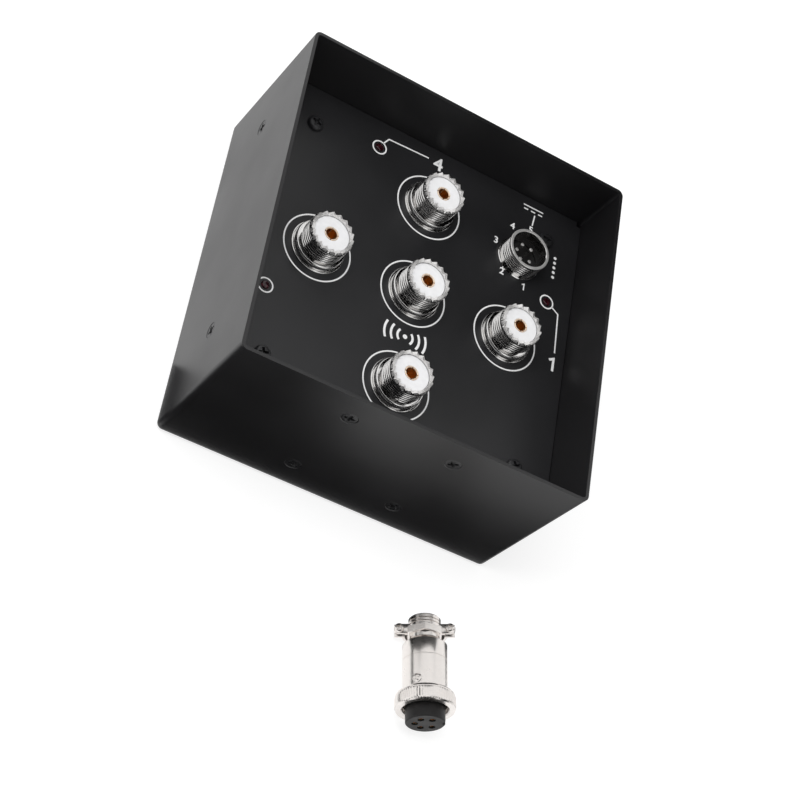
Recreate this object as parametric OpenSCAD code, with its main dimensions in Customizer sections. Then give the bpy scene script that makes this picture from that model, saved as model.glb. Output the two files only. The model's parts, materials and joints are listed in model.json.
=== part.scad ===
// Remote coaxial antenna switch: one common socket switched to four antenna sockets.
// The box lies on its closed back. +Z points out of its open front, +X to the right and +Y
// to the top of the socket panel. The origin is the centre of the closed back's outer face.
// A loose cable plug for the control socket lies beside the box. All sizes are millimetres.

/* [Case] */
// Width of the folded case, along X
case_w = 126; // [123:1:180]
// Height of the folded case, along Y
case_h = 128; // [123:1:180]
// Gap between the relays' covers and the case's closed back
back_gap = 4.2; // [1:0.1:30]
// Thickness of the case's sheet
sheet_t = 1.2; // [1:0.1:2]
// Inner radius of the case's bends
bend_inner_r = 0.7; // [0.5:0.1:4]
// Depth of the open skirt, from the rim down to the socket panel's face
skirt_d = 23.5; // [16:0.5:25]

/* [Socket panel] */
// Thickness of the socket panel
panel_t = 1.5; // [1:0.1:2.2]
// Depth of the panel's folded side flanges, from the panel's face
flange_d = 14; // [12:0.5:16]
// Distance from the centre to each of the four outer antenna sockets
socket_pitch = 37; // [35:0.5:40]
// Distance of the corner screws from the centre, along X and Y
corner_screw_at = 47.5; // [46.5:0.5:50]

/* [Antenna sockets] */
// Major diameter of the antenna socket's thread
thread_d = 15.875; // [15:0.125:17]
// Pitch of the antenna socket's thread
thread_pitch = 1.058; // [0.8:0.01:1.3]
// Depth of the antenna socket's thread
thread_depth = 0.55; // [0.3:0.05:0.65]
// Height of the socket's toothed rim above the panel
socket_h = 11.5; // [10.5:0.5:16]
// Number of teeth round the socket's rim
tooth_count = 18; // [8:1:24]
// Depth of the notches between the teeth
tooth_depth = 1.3; // [0.6:0.1:1.6]
// Diameter of the socket's seating flange
socket_flange_d = 18.2; // [17.5:0.1:19.4]
// Thickness of the socket's seating flange
socket_flange_t = 2.4; // [1:0.1:3]
// Diameter of the bright washer under the flange
washer_d = 19.5; // [19.5:0.5:23]
// Thickness of the bright washer under the flange
washer_t = 0.6; // [0.3:0.1:1.5]
// Diameter of the white insulator
insulator_d = 13; // [12:0.1:13.2]
// Depth of the insulator's face below the teeth's tips
insulator_sink = 1.5; // [0.8:0.1:2.5]
// Bore of the centre contact, which takes the mating plug's pin
contact_bore = 4; // [3.6:0.1:4.4]
// Wall of the centre contact's tube
contact_wall = 0.5; // [0.4:0.1:1]
// Depth of the centre contact's bore
contact_depth = 9; // [7:0.5:11]
// Length of the socket's threaded shank behind the panel's face
shank_l = 10; // [8:0.5:11]
// Width across the flats of the socket's hexagonal nut
socket_nut_af = 19; // [18:0.5:21]
// Thickness of the socket's nut
socket_nut_t = 3; // [2:0.5:4]
// Thickness of the earth tag under the nut
tag_t = 0.8; // [0.4:0.1:1.2]

/* [Control socket] */
// Centre of the control socket on the panel, along X
control_x = 37.5; // [37:0.5:39]
// Centre of the control socket on the panel, along Y
control_y = 34; // [33:0.5:35]
// Major diameter of the control socket's thread
control_d = 16; // [15:0.5:16.5]
// Height of the control socket's rim above the panel
control_h = 8; // [7:0.5:12]
// Diameter of the control socket's seating flange
control_flange_d = 17; // [16.6:0.1:19]
// Thickness of the control socket's seating flange
control_flange_t = 1; // [0.6:0.1:2]
// Bore of the control socket's open cup
control_bore = 13.8; // [13.2:0.1:14]
// Radius of the circle that the control pins stand on
pin_circle_r = 3.4; // [3:0.1:3.8]
// Diameter of the control pins
pin_d = 1.5; // [1:0.1:1.8]
// Depth of the control pins' tips below the socket's rim
pin_sink = 3; // [2:0.5:4]

/* [Lamps] */
// Diameter of the signal lamps' lenses
lamp_d = 3; // [2:0.5:4]
// Height of the lenses' domes above the panel
lamp_h = 0.6; // [0.2:0.1:1.2]
// Distance of each lamp from the panel's centre, measured outwards past its socket
lamp_out = 51.5; // [50:0.5:53]
// Sideways distance of each lamp from its socket's centre line
lamp_side = 22.5; // [20:0.5:24]

/* [Circuit board] */
// Side of the square circuit board
board_w = 110; // [108:1:112]
// Thickness of the circuit board
board_t = 1.6; // [1:0.1:2]
// Length of the hexagonal posts between the panel and the board
post_l = 15; // [14.5:0.5:16]
// Width across the flats of the posts
post_af = 5.5; // [5:0.5:7]

/* [Relays] */
// Distance of each relay from the board's centre
relay_r = 22; // [21.5:0.5:23]
// Width of the relays' covers
relay_w = 12.7; // [12.6:0.1:14]
// Length of the relays' covers
relay_l = 29; // [28.6:0.1:30]
// Height of the relays' covers below the board
relay_h = 15.7; // [15.5:0.1:16.5]
// Wall of the relays' covers
relay_wall = 0.8; // [0.5:0.1:1]
// Diameter of the relays' coil windings
coil_d = 9.6; // [7:0.1:10]
// Diameter of the coils' iron cores
core_d = 4; // [3:0.1:5]
// Gap between the armature and the core's pole face when the relay is off
armature_gap = 0.6; // [0.6:0.05:0.9]

/* [Fasteners] */
// Thread diameter of the machine screws
screw_d = 3; // [2.5:0.5:3.5]
// Head diameter of the countersunk case screws
sunk_head_d = 5.6; // [5:0.1:6]
// Head diameter of the panel's corner screws
pan_head_d = 5.8; // [5:0.1:6.5]
// Height of the heads of the panel's corner screws
pan_head_h = 1.7; // [1:0.1:2.2]
// Distance of the side screws from the case's centre, along Y
side_screw_y = 42; // [36:1:46]
// Depth of the side screws' line below the panel's face
side_screw_drop = 7.5; // [6:0.5:8.5]
// Spacing of the bracket screws along X
bracket_w = 38; // [20:1:44]
// Height of the lower pair of bracket screws above the closed back
bracket_low_z = 13.9; // [10:0.1:15]
// Spacing of the bracket screws along Z
bracket_l = 37.3; // [36:0.1:40]

/* [Cable plug] */
// Place along X where the lying plug's coupling nut touches the ground
plug_x = 44; // [-60:1:60]
// Distance from the case's near wall to the point where the coupling nut touches the ground
plug_out = 58.5; // [45:0.5:120]
// Turn of the lying plug about the vertical
plug_turn = 7; // [-20:1:20]
// Roll of the lying plug about its own axis
plug_roll = -30; // [-40:1:10]
// Diameter of the plug's barrel
barrel_d = 14.7; // [14.4:0.1:15]
// Length of the plug from its mating face to the barrel's shoulder
barrel_l = 27.1; // [24:0.1:36]
// Diameter of the plug's insert
insert_d = 13; // [12.4:0.1:13.2]
// Height of the coupling nut's lower edge above the mating face
ring_low = 4.4; // [3:0.1:5]
// Length of the coupling nut
ring_l = 6; // [5.5:0.1:8]
// Outer diameter of the coupling nut
ring_d = 19.8; // [19:0.1:22]
// Diameter of the cable entry
entry_d = 7.4; // [5:0.1:7.8]
// Outer diameter of the cable collar
collar_d = 10.6; // [10.2:0.1:12]
// Width across the flats of the cable collar's hexagon
collar_af = 11; // [10.8:0.1:12.4]

/* [Clearances] */
// Gap between the panel and the case's walls
panel_gap = 0.2; // [0.1:0.05:0.4]
// Radial gap round screws, wires and pins in their holes
hole_gap = 0.15; // [0.1:0.05:0.2]
// Radial running gap between the plug's barrel and its coupling nut
run_gap = 0.4; // [0.3:0.05:0.5]
// Radial gap between parts that are fitted into each other
fit_gap = 0.05; // [0.02:0.01:0.1]

/* [Hidden] */
$fn = 48;
PORTS = [1, 2, 3, 4];

// Levels above the closed back, and the case's depth from its back to its open rim.
relay_seat = 0.3;
board_z = sheet_t + back_gap + relay_h + relay_seat;
board_top_z = board_z + board_t;
panel_back_z = board_top_z + post_l;
panel_z = panel_back_z + panel_t;
case_d = panel_z + skirt_d;
side_screw_z = panel_z - side_screw_drop;
bend_r = bend_inner_r + sheet_t;
inner_w = case_w - 2 * sheet_t;
inner_h = case_h - 2 * sheet_t;
panel_w = inner_w - 2 * panel_gap;
panel_h = inner_h - 2 * panel_gap;

// Screws.
screw_r = screw_d / 2;
screw_hole_r = screw_r + hole_gap;
sunk_lip = 0.1;
sunk_h = sheet_t - sunk_lip;
nut_af = screw_d * 5.5 / 3;
nut_t = screw_d * 0.8;
nut_gap = 0.1;
cross_w = screw_d * 0.23;
cross_l = screw_d * 1.05;
cross_deep = screw_d * 0.33;
case_screw_l = sheet_t + panel_gap + panel_t + nut_t + 1;
bracket_screw_l = sheet_t + nut_t + 1;
thread_grip = 5;
corner_screw_l = panel_t + thread_grip;
board_screw_l = board_t + thread_grip;

// Antenna sockets.
thread_r = thread_d / 2;
root_r = thread_r - thread_depth;
shank_r = root_r;
front_bore_r = insulator_d / 2 + fit_gap;
insulator_rear_r = 5;
insulator_step = 2;
insulator_top = socket_h - insulator_sink;
contact_r = contact_bore / 2 + contact_wall;
contact_proud = 0.2;
contact_tail_r = 1.6;
tail_end_z = board_top_z + 1;
insulator_end_z = tail_end_z + 4;
crown_from = socket_h - tooth_depth - 0.1;
crown_taper = 0.35;
band_l = tooth_depth + 0.8;
thread_from = washer_t + socket_flange_t + 0.5;
thread_turns = floor((socket_h - band_l - thread_from) / thread_pitch);
washer_hole_r = shank_r + hole_gap;
feed_r = 0.6;
cup_depth = 3;
tag_r = washer_d / 2 - 0.4;
tongue_w = 3;
tongue_l = 3;

// Control socket.
control_r = control_d / 2;
control_root_r = control_r - 0.5;
control_shank_r = control_root_r;
control_pitch = 1;
control_band_l = 0.9;
control_shank_l = 10;
control_thread_from = control_flange_t + 0.4;
control_turns = floor((control_h - control_band_l - control_thread_from) / control_pitch);
insert_top = 1;
pin_top = control_h - pin_sink;
pin_angles = [50, 116, 180, 244, 310];
pin_r = pin_d / 2;
cup_r = pin_r + 0.35;
cup_l = 2.6;
tip_l = 0.5;
insert_recess = 0.5;
wire_r = pin_r - 0.15;
control_nut_t = 3;
control_washer_t = 1;
key_r = 1;

// Lamps and diodes.
lamp_r = lamp_d / 2;
lamp_base_r = lamp_r + 0.5;
lamp_base_h = 1;
lamp_leg_r = 0.25;
lamp_leg_at = 1.27;
lead_proud = 0.7;
diode_r = 1.3;
diode_lift = 0.3;
diode_l = 4.4;
diode_past_relay = 23.5;
diode_at = relay_r + diode_past_relay;
diode_leg_at = diode_l / 2 + 1.6;
diode_leg_r = 0.35;

// Relays, measured from the board's underside towards the closed back.
armature_travel = 4;
base_t = 2;
foot_t = 1.2;
bobbin_t = 0.8;
inner_l = relay_l - 2 * relay_wall;
leg_y = -inner_l / 2 + 0.5;
bobbin_flange = 0.3;
bobbin_wall = 0.7;
coil_y = leg_y + foot_t + coil_d / 2 + bobbin_flange + 0.5;
foot_z = relay_seat + base_t;
pole_z = relay_h - 3.7;
pole_proud = 0.6;
bobbin_end_z = pole_z - pole_proud;
bobbin_r = coil_d / 2 + bobbin_flange;
hinge_z = pole_z + armature_gap;
hinge_gap = 0.05;
plate_t = 1;
plate_inset = 0.1;
blade_t = 0.3;
blade_over = 2;
blade_z = hinge_z + hinge_gap + plate_t;
button_y = inner_l / 2 - 3.2;
button_r = 1.2;
button_h = 0.8;
button_drop = (button_y - leg_y - foot_t + button_r) * tan(armature_travel) + 0.15;
post_y = inner_l / 2 - 0.8;
term_w = 3;
term_t = 0.5;
term_pin_r = 0.45;
term_clear_r = 2 * term_pin_r;
coil_term_x = 3.5;
coil_term_y = leg_y + foot_t + 0.2;
yoke_w = 9;
plate_w = 8.4;
blade_w = 3.6;
arm_t = 0.6;

// Loose plug, measured from its mating face.
barrel_r = barrel_d / 2;
barrel_from = ring_low + ring_l - 3.2;
shoulder_l = 1.8;
groove_back = 5.8;
groove_z = barrel_l - groove_back;
groove_depth = 0.25;
groove_w = 0.3;
neck_r = collar_d / 2 - 0.4;
neck_l = 1.5;
hex_l = 2.8;
collar_ring_l = 3.6;
collar_z = barrel_l + shoulder_l;
hex_z = collar_z + neck_l;
collar_top = hex_z + hex_l + collar_ring_l;
stop_r = barrel_r + 0.9;
stop_l = 0.9;
shoulder_wall = 2.3;
ring_bore_r = barrel_r + run_gap;
ring_thread_r = control_root_r;
insert_r = insert_d / 2;
insert_l = 13;
socket_r = pin_r + 0.2;
socket_sink = 0.6;
socket_bore_l = 7;
barrel_bore_r = insert_r + fit_gap;
set_screw_z = ring_low + ring_l + 2.4;
set_screw_a = -112;
set_screw_r = 1.35;
saddle_w = 4.4;
saddle_t = 1;
saddle_r = collar_af / 2 / cos(30) + 0.15;
saddle_z = hex_z + hex_l / 2 + 1;
ear_l = 3.2;
ear_x = saddle_r + 0.2 + ear_l / 2;
ear_screw_r = 1;
ear_head_r = 1.6;
ear_head_h = 1.1;
ear_cross_w = 0.4;
lug_t = 1.5;
lug_gap = 0.1;
lug_in = entry_d / 2 + 0.5;
ear_hole_r = ear_screw_r + 0.1;

// The plug lies on its coupling nut's rear edge and on its saddle's far edge.
ring_edge_z = ring_low + ring_l - 1.4;
plug_y = -case_h / 2 - plug_out;
plug_tilt = atan((ring_d / 2 - saddle_r - saddle_t) / (saddle_z + saddle_w / 2 - ring_edge_z));

// ---- Shapes shared by the modules below ----

// A square tray's outer form: straight walls, and bends of one radius round its closed back.
module rounded_block(w, h, d, r) {
    for (x = [-1, 1], y = [-1, 1]) translate([x * (w / 2 - r), y * (h / 2 - r), 0]) {
        translate([0, 0, r]) cylinder(r = r, h = d - r);
        translate([0, 0, r]) sphere(r = r);
    }
    for (y = [-1, 1]) translate([-w / 2 + r, y * (h / 2 - r), r])
        rotate([0, 90, 0]) cylinder(r = r, h = w - 2 * r);
    for (x = [-1, 1]) translate([x * (w / 2 - r), -h / 2 + r, r])
        rotate([-90, 0, 0]) cylinder(r = r, h = h - 2 * r);
    translate([-w / 2 + r, -h / 2 + r, 0]) cube([w - 2 * r, h - 2 * r, d]);
    translate([-w / 2, -h / 2 + r, r]) cube([w, h - 2 * r, d - r]);
    translate([-w / 2 + r, -h / 2, r]) cube([w - 2 * r, h, d - r]);
}

// A ring-grooved thread's half outline, from its first groove to its last crest.
function thread_points(crest, root, from, pitch, turns) =
    [for (i = [0 : turns - 1]) each [
        [root, from + i * pitch], [root, from + (i + 0.15) * pitch],
        [crest, from + (i + 0.4) * pitch], [crest, from + (i + 0.75) * pitch],
        [root, from + (i + 1) * pitch]]];

module hex(af, h) {
    cylinder(r = af / 2 / cos(30), h = h, $fn = 6);
}

module ring(r_out, r_in, h) {
    difference() {
        cylinder(r = r_out, h = h);
        translate([0, 0, -1]) cylinder(r = r_in, h = h + 2);
    }
}

module cross_recess() {
    for (a = [0, 90]) rotate([0, 0, a])
        translate([-cross_l / 2, -cross_w / 2, -cross_deep]) cube([cross_l, cross_w, cross_deep + 1]);
}

// A countersunk screw whose head is flush with z = 0 and whose shank runs down to -l.
module sunk_screw(l) {
    difference() {
        union() {
            translate([0, 0, -l]) cylinder(r = screw_r, h = l);
            translate([0, 0, -sunk_h]) cylinder(r1 = screw_r, r2 = sunk_head_d / 2, h = sunk_h);
        }
        cross_recess();
    }
}

// A pan-head screw that sits on z = 0 and whose shank runs down to -l.
module pan_screw(l) {
    difference() {
        union() {
            translate([0, 0, -l]) cylinder(r = screw_r, h = l);
            cylinder(r = pan_head_d / 2, h = pan_head_h * 0.55);
            translate([0, 0, pan_head_h * 0.55])
                cylinder(r1 = pan_head_d / 2, r2 = pan_head_d / 2 - pan_head_h * 0.5, h = pan_head_h * 0.45);
        }
        translate([0, 0, pan_head_h]) cross_recess();
    }
}

module screw_nut() {
    difference() {
        hex(nut_af, nut_t);
        translate([0, 0, -1]) cylinder(r = screw_r + nut_gap, h = nut_t + 2);
    }
}

// ---- Places ----

module at_corners() {
    for (x = [-1, 1], y = [-1, 1]) translate([x * corner_screw_at, y * corner_screw_at, 0]) children();
}

// Side screws, seen with +Z pointing outwards through the case's left and right walls.
module at_side_screws(depth) {
    for (side = [-1, 1], y = [-side_screw_y, side_screw_y])
        translate([side * (case_w / 2 - depth), y, side_screw_z]) rotate([0, side * 90, 0]) children();
}

// Bracket screws, seen with +Z pointing outwards through the case's near wall.
module at_bracket_screws(depth) {
    for (x = [-bracket_w / 2, bracket_w / 2], z = [bracket_low_z, bracket_low_z + bracket_l])
        translate([x, -case_h / 2 + depth, z]) rotate([90, 0, 0]) children();
}

function port_angle(n) = -90 * (n - 1);

module at_port(n) {
    rotate([0, 0, port_angle(n)]) translate([socket_pitch, 0, panel_z]) children();
}

module at_sockets() {
    translate([0, 0, panel_z]) children();
    for (n = PORTS) at_port(n) children();
}

module at_control() {
    translate([control_x, control_y, panel_z]) children();
}

module at_control_pins() {
    at_control() for (a = pin_angles) rotate([0, 0, a]) translate([pin_circle_r, 0, 0]) children();
}

module at_lamps() {
    for (n = PORTS) rotate([0, 0, port_angle(n)]) translate([lamp_out, lamp_side, 0]) children();
}

module at_diodes() {
    for (n = PORTS) rotate([0, 0, port_angle(n)]) translate([diode_at, 0, board_top_z]) children();
}

// Under the board, with the relay's own +Z pointing away from the board.
module at_relay(n) {
    rotate([0, 0, port_angle(n)]) translate([relay_r, 0, board_z]) rotate([180, 0, 0]) children();
}

// The plug's own +Z runs from its mating face to its cable entry.
module at_plug() {
    translate([plug_x, plug_y, ring_d / 2 * cos(plug_tilt)]) rotate([0, 0, plug_turn])
        rotate([-90 - plug_tilt, 0, 0]) rotate([0, 0, plug_roll]) translate([0, 0, -ring_edge_z]) children();
}

// ---- Case and panel ----

module case_shell() {
    color("#1b1c1f") difference() {
        rounded_block(case_w, case_h, case_d, bend_r);
        translate([0, 0, sheet_t]) rounded_block(inner_w, inner_h, case_d, bend_inner_r);
        at_side_screws(0) translate([0, 0, -sheet_t - 1]) cylinder(r = screw_hole_r, h = sheet_t + 2);
        at_side_screws(0) translate([0, 0, -sunk_h - hole_gap])
            cylinder(r1 = screw_r, r2 = sunk_head_d / 2 + 2 * hole_gap, h = sunk_h + 2 * hole_gap);
        at_bracket_screws(0) translate([0, 0, -sheet_t - 1]) cylinder(r = screw_hole_r, h = sheet_t + 2);
        at_bracket_screws(0) translate([0, 0, -sunk_h - hole_gap])
            cylinder(r1 = screw_r, r2 = sunk_head_d / 2 + 2 * hole_gap, h = sunk_h + 2 * hole_gap);
    }
}

module socket_panel() {
    color("#242528") difference() {
        translate([0, 0, panel_z]) union() {
            translate([-panel_w / 2, -panel_h / 2, -panel_t]) cube([panel_w, panel_h, panel_t]);
            for (side = [-1, 1]) translate([side * (panel_w - panel_t) / 2, 0, -flange_d / 2])
                cube([panel_t, panel_h, flange_d], center = true);
        }
        for (x = [-1, 1], y = [-1, 1]) translate([x * panel_w / 2, y * panel_h / 2, panel_z - flange_d / 2])
            cube([2 * bend_r, 2 * bend_r, flange_d + 2], center = true);
        at_sockets() translate([0, 0, -panel_t - 1]) cylinder(r = washer_hole_r, h = panel_t + 2);
        at_control() translate([0, 0, -panel_t - 1])
            cylinder(r = control_shank_r + hole_gap, h = panel_t + 2);
        at_lamps() translate([0, 0, panel_back_z - 1]) cylinder(r = lamp_r + fit_gap, h = panel_t + 2);
        at_corners() translate([0, 0, panel_back_z - 1]) cylinder(r = screw_hole_r, h = panel_t + 2);
        at_side_screws(0) translate([0, 0, -sheet_t - panel_t - 2])
            cylinder(r = screw_hole_r, h = sheet_t + panel_t + 3);
    }
}

module panel_screws() {
    color("#141416") at_corners() translate([0, 0, panel_z]) pan_screw(corner_screw_l);
}

module side_screws() {
    color("#141416") at_side_screws(0) sunk_screw(case_screw_l);
}

module flange_nuts() {
    color("silver") at_side_screws(sheet_t + panel_gap + panel_t + nut_t) screw_nut();
}

module bracket_screws() {
    color("#141416") at_bracket_screws(0) sunk_screw(bracket_screw_l);
}

module bracket_nuts() {
    color("silver") at_bracket_screws(sheet_t + nut_t) screw_nut();
}

// ---- Antenna sockets ----

// Every height here is above the panel's face.
module socket_body() {
    color("#c9ccd1") difference() {
        rotate_extrude() polygon(concat(
            [[insulator_rear_r + fit_gap, -shank_l], [shank_r, -shank_l], [shank_r, washer_t],
             [socket_flange_d / 2, washer_t], [socket_flange_d / 2, washer_t + socket_flange_t],
             [root_r, washer_t + socket_flange_t]],
            thread_points(thread_r, root_r, thread_from, thread_pitch, thread_turns),
            [[root_r, socket_h - band_l], [thread_r, socket_h - band_l], [thread_r, crown_from],
             [thread_r - crown_taper, socket_h],
             [front_bore_r, socket_h], [front_bore_r, insulator_step],
             [insulator_rear_r + fit_gap, insulator_step]]));
        for (i = [0 : tooth_count - 1]) rotate([0, 0, (i + 0.5) * 360 / tooth_count])
            translate([front_bore_r - 1, 0, socket_h - tooth_depth]) rotate([45, 0, 0])
                cube([thread_r - front_bore_r + 2, 3 * tooth_depth, 3 * tooth_depth]);
    }
}

module socket_insulator() {
    color("#f4f4f0") rotate_extrude() polygon([
        [contact_tail_r + fit_gap, insulator_end_z - panel_z], [insulator_rear_r, insulator_end_z - panel_z],
        [insulator_rear_r, insulator_step], [insulator_d / 2, insulator_step],
        [insulator_d / 2, insulator_top], [contact_r + fit_gap, insulator_top],
        [contact_r + fit_gap, insulator_top - contact_depth - 1],
        [contact_tail_r + fit_gap, insulator_top - contact_depth - 1]]);
}

module socket_contact() {
    color("#c8892b") rotate_extrude() polygon([
        [0, insulator_top - contact_depth], [contact_bore / 2, insulator_top - contact_depth],
        [contact_bore / 2, insulator_top + contact_proud], [contact_r, insulator_top + contact_proud],
        [contact_r, insulator_top - contact_depth - 1], [contact_tail_r, insulator_top - contact_depth - 1],
        [contact_tail_r, tail_end_z - panel_z], [feed_r + hole_gap, tail_end_z - panel_z],
        [feed_r + hole_gap, tail_end_z - panel_z + cup_depth], [0, tail_end_z - panel_z + cup_depth]]);
}

module common_body() { translate([0, 0, panel_z]) socket_body(); }
module common_insulator() { translate([0, 0, panel_z]) socket_insulator(); }
module common_contact() { translate([0, 0, panel_z]) socket_contact(); }
module antenna_body(n) { at_port(n) socket_body(); }
module antenna_insulator(n) { at_port(n) socket_insulator(); }
module antenna_contact(n) { at_port(n) socket_contact(); }

module socket_washers() {
    color("#dcdee2") at_sockets() ring(washer_d / 2, washer_hole_r, washer_t);
}

// A round tag with a soldering tongue.
module earth_tags() {
    color("#cfc9b4") at_sockets() translate([0, 0, -panel_t - tag_t]) difference() {
        union() {
            cylinder(r = tag_r, h = tag_t);
            rotate([0, 0, 45]) translate([tag_r - 1, -tongue_w / 2, 0]) cube([tongue_l + 1, tongue_w, tag_t]);
        }
        translate([0, 0, -1]) cylinder(r = washer_hole_r, h = tag_t + 2);
        rotate([0, 0, 45]) translate([tag_r + tongue_l / 2, 0, -1]) cylinder(r = tongue_w / 4, h = tag_t + 2);
    }
}

module socket_nuts() {
    color("#c9ccd1") at_sockets() translate([0, 0, -panel_t - tag_t - socket_nut_t]) difference() {
        hex(socket_nut_af, socket_nut_t);
        translate([0, 0, -1]) cylinder(r = shank_r + fit_gap, h = socket_nut_t + 2);
    }
}

// ---- Control socket ----

module control_body() {
    color("#c9ccd1") at_control() {
        rotate_extrude() polygon(concat(
            [[control_bore / 2, -control_shank_l], [control_shank_r, -control_shank_l],
             [control_shank_r, 0], [control_flange_d / 2, 0],
             [control_flange_d / 2, control_flange_t], [control_root_r, control_flange_t]],
            thread_points(control_r, control_root_r, control_thread_from, control_pitch, control_turns),
            [[control_root_r, control_h - control_band_l], [control_r, control_h - control_band_l + 0.2],
             [control_r, control_h - 0.2], [control_r - 0.2, control_h], [control_bore / 2, control_h]]));
        intersection() {
            translate([control_bore / 2 + 0.1, 0, insert_top + fit_gap])
                cylinder(r = key_r, h = control_h - insert_top - 0.4);
            cylinder(r = control_bore / 2 + 0.2, h = control_h);
        }
    }
}

module control_insert() {
    color("#18181a") difference() {
        at_control() translate([0, 0, insert_recess - control_shank_l])
            cylinder(r = control_bore / 2 - fit_gap, h = insert_top + control_shank_l - insert_recess);
        at_control_pins() translate([0, 0, -control_shank_l - 1])
            cylinder(r = pin_r + fit_gap, h = control_shank_l + insert_top + 2);
    }
}

// Round pins with a soldering cup at their back ends.
module control_pins() {
    color("#d9d2b8") at_control_pins() difference() {
        union() {
            translate([0, 0, -control_shank_l]) cylinder(r = pin_r, h = pin_top - tip_l + control_shank_l);
            translate([0, 0, pin_top - tip_l]) cylinder(r1 = pin_r, r2 = pin_r * 0.55, h = tip_l);
            translate([0, 0, -control_shank_l - cup_l]) cylinder(r = cup_r, h = cup_l + 0.2);
        }
        translate([0, 0, -control_shank_l - cup_l - 1]) cylinder(r = wire_r + 0.1, h = cup_l + 0.6);
    }
}

module control_washer() {
    color("#dcdee2") at_control() translate([0, 0, -panel_t - control_washer_t])
        ring(control_flange_d / 2, control_shank_r + hole_gap, control_washer_t);
}

module control_nut() {
    color("#c9ccd1") at_control() translate([0, 0, -panel_t - control_washer_t - control_nut_t])
        difference() {
            hex(socket_nut_af, control_nut_t);
            translate([0, 0, -1]) cylinder(r = control_shank_r + fit_gap, h = control_nut_t + 2);
        }
}

// ---- Lamps, board and wiring ----

// Each lamp is pushed through the panel from behind and stands on its two legs.
module signal_lamps() {
    color("#5a1418") at_lamps() {
        translate([0, 0, panel_back_z]) cylinder(r = lamp_r, h = panel_t);
        translate([0, 0, panel_z]) intersection() {
            cylinder(r = lamp_r, h = lamp_h);
            translate([0, 0, lamp_h - lamp_r * 1.6]) sphere(r = lamp_r * 1.6);
        }
        translate([0, 0, panel_back_z - lamp_base_h]) cylinder(r = lamp_base_r, h = lamp_base_h);
        for (side = [-1, 1]) translate([side * lamp_leg_at, 0, board_z - lead_proud])
            cylinder(r = lamp_leg_r, h = panel_back_z - lamp_base_h / 2 - board_z + lead_proud);
    }
}

module circuit_board() {
    color("#1d5c34") difference() {
        translate([-board_w / 2, -board_w / 2, board_z]) cube([board_w, board_w, board_t]);
        at_corners() translate([0, 0, board_z - 1]) cylinder(r = screw_hole_r, h = board_t + 2);
        at_sockets() translate([0, 0, board_z - panel_z - 1])
            cylinder(r = feed_r + hole_gap, h = board_t + 2);
        at_control_pins() translate([0, 0, board_z - panel_z - 1])
            cylinder(r = wire_r + hole_gap, h = board_t + 2);
        at_lamps() for (side = [-1, 1]) translate([side * lamp_leg_at, 0, board_z - 1])
            cylinder(r = lamp_leg_r + hole_gap, h = board_t + 2);
        at_diodes() for (side = [-1, 1]) translate([0, side * diode_leg_at, -board_t - 1])
            cylinder(r = diode_leg_r + hole_gap, h = board_t + 2);
        for (n = PORTS) at_relay(n) at_terminals() translate([0, 0, -board_t - 1])
            cylinder(r = term_pin_r + hole_gap, h = board_t + 2);
    }
}

module board_posts() {
    color("#c8a24a") at_corners() translate([0, 0, board_top_z]) difference() {
        hex(post_af, post_l);
        translate([0, 0, -1]) cylinder(r = screw_r + nut_gap, h = post_l + 2);
    }
}

module board_screws() {
    color("silver") at_corners() translate([0, 0, board_z]) rotate([180, 0, 0]) pan_screw(board_screw_l);
}

// A lying glass body whose bent legs go down through the board.
module board_diodes() {
    color("#2a2a2c") at_diodes() {
        translate([0, diode_l / 2, diode_r + diode_lift]) rotate([90, 0, 0])
            cylinder(r = diode_r, h = diode_l);
        translate([0, diode_leg_at, diode_r + diode_lift]) rotate([90, 0, 0])
            cylinder(r = diode_leg_r, h = 2 * diode_leg_at);
        for (side = [-1, 1]) translate([0, side * diode_leg_at, diode_r + diode_lift]) {
            translate([0, 0, -diode_r - diode_lift - board_t - lead_proud])
                cylinder(r = diode_leg_r, h = diode_r + diode_lift + board_t + lead_proud);
            sphere(r = diode_leg_r);
        }
    }
}

// Stiff copper wires from each centre contact's cup down through the board.
module feed_wires() {
    color("#b8743a") at_sockets() translate([0, 0, board_z - panel_z - lead_proud])
        cylinder(r = feed_r, h = tail_end_z + cup_depth - 0.2 - board_z + lead_proud);
}

// One short wire from each control pin's cup down through the board.
module control_wires() {
    color("#a03028") at_control_pins() translate([0, 0, board_z - panel_z - lead_proud])
        cylinder(r = wire_r, h = panel_z - control_shank_l - 0.6 - board_z + lead_proud);
}

// ---- Relays, each drawn from the board's underside outwards ----

module relay_cover(n) {
    color("#2f6fa8") at_relay(n) difference() {
        translate([-relay_w / 2, -relay_l / 2, relay_seat]) cube([relay_w, relay_l, relay_h]);
        translate([-relay_w / 2 + relay_wall, -inner_l / 2, -1])
            cube([relay_w - 2 * relay_wall, inner_l, relay_h + relay_seat + 1 - relay_wall]);
    }
}

// Coil terminals beside the coil, then the moving, resting and working contacts' terminals.
module at_terminals() {
    for (side = [-1, 1]) translate([side * coil_term_x, coil_term_y, 0]) children();
    translate([0, coil_y + coil_d / 2 + 2, 0]) children();
    for (y = [button_y, post_y]) translate([0, y, 0]) children();
}

module relay_bases() {
    color("#23262b") for (n = PORTS) at_relay(n) difference() {
        translate([-relay_w / 2 + relay_wall + fit_gap, -inner_l / 2 + fit_gap, relay_seat])
            cube([relay_w - 2 * (relay_wall + fit_gap), inner_l - 2 * fit_gap, base_t]);
        at_terminals() translate([0, 0, -1]) cylinder(r = term_pin_r + fit_gap, h = base_t + 2);
    }
}

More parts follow.
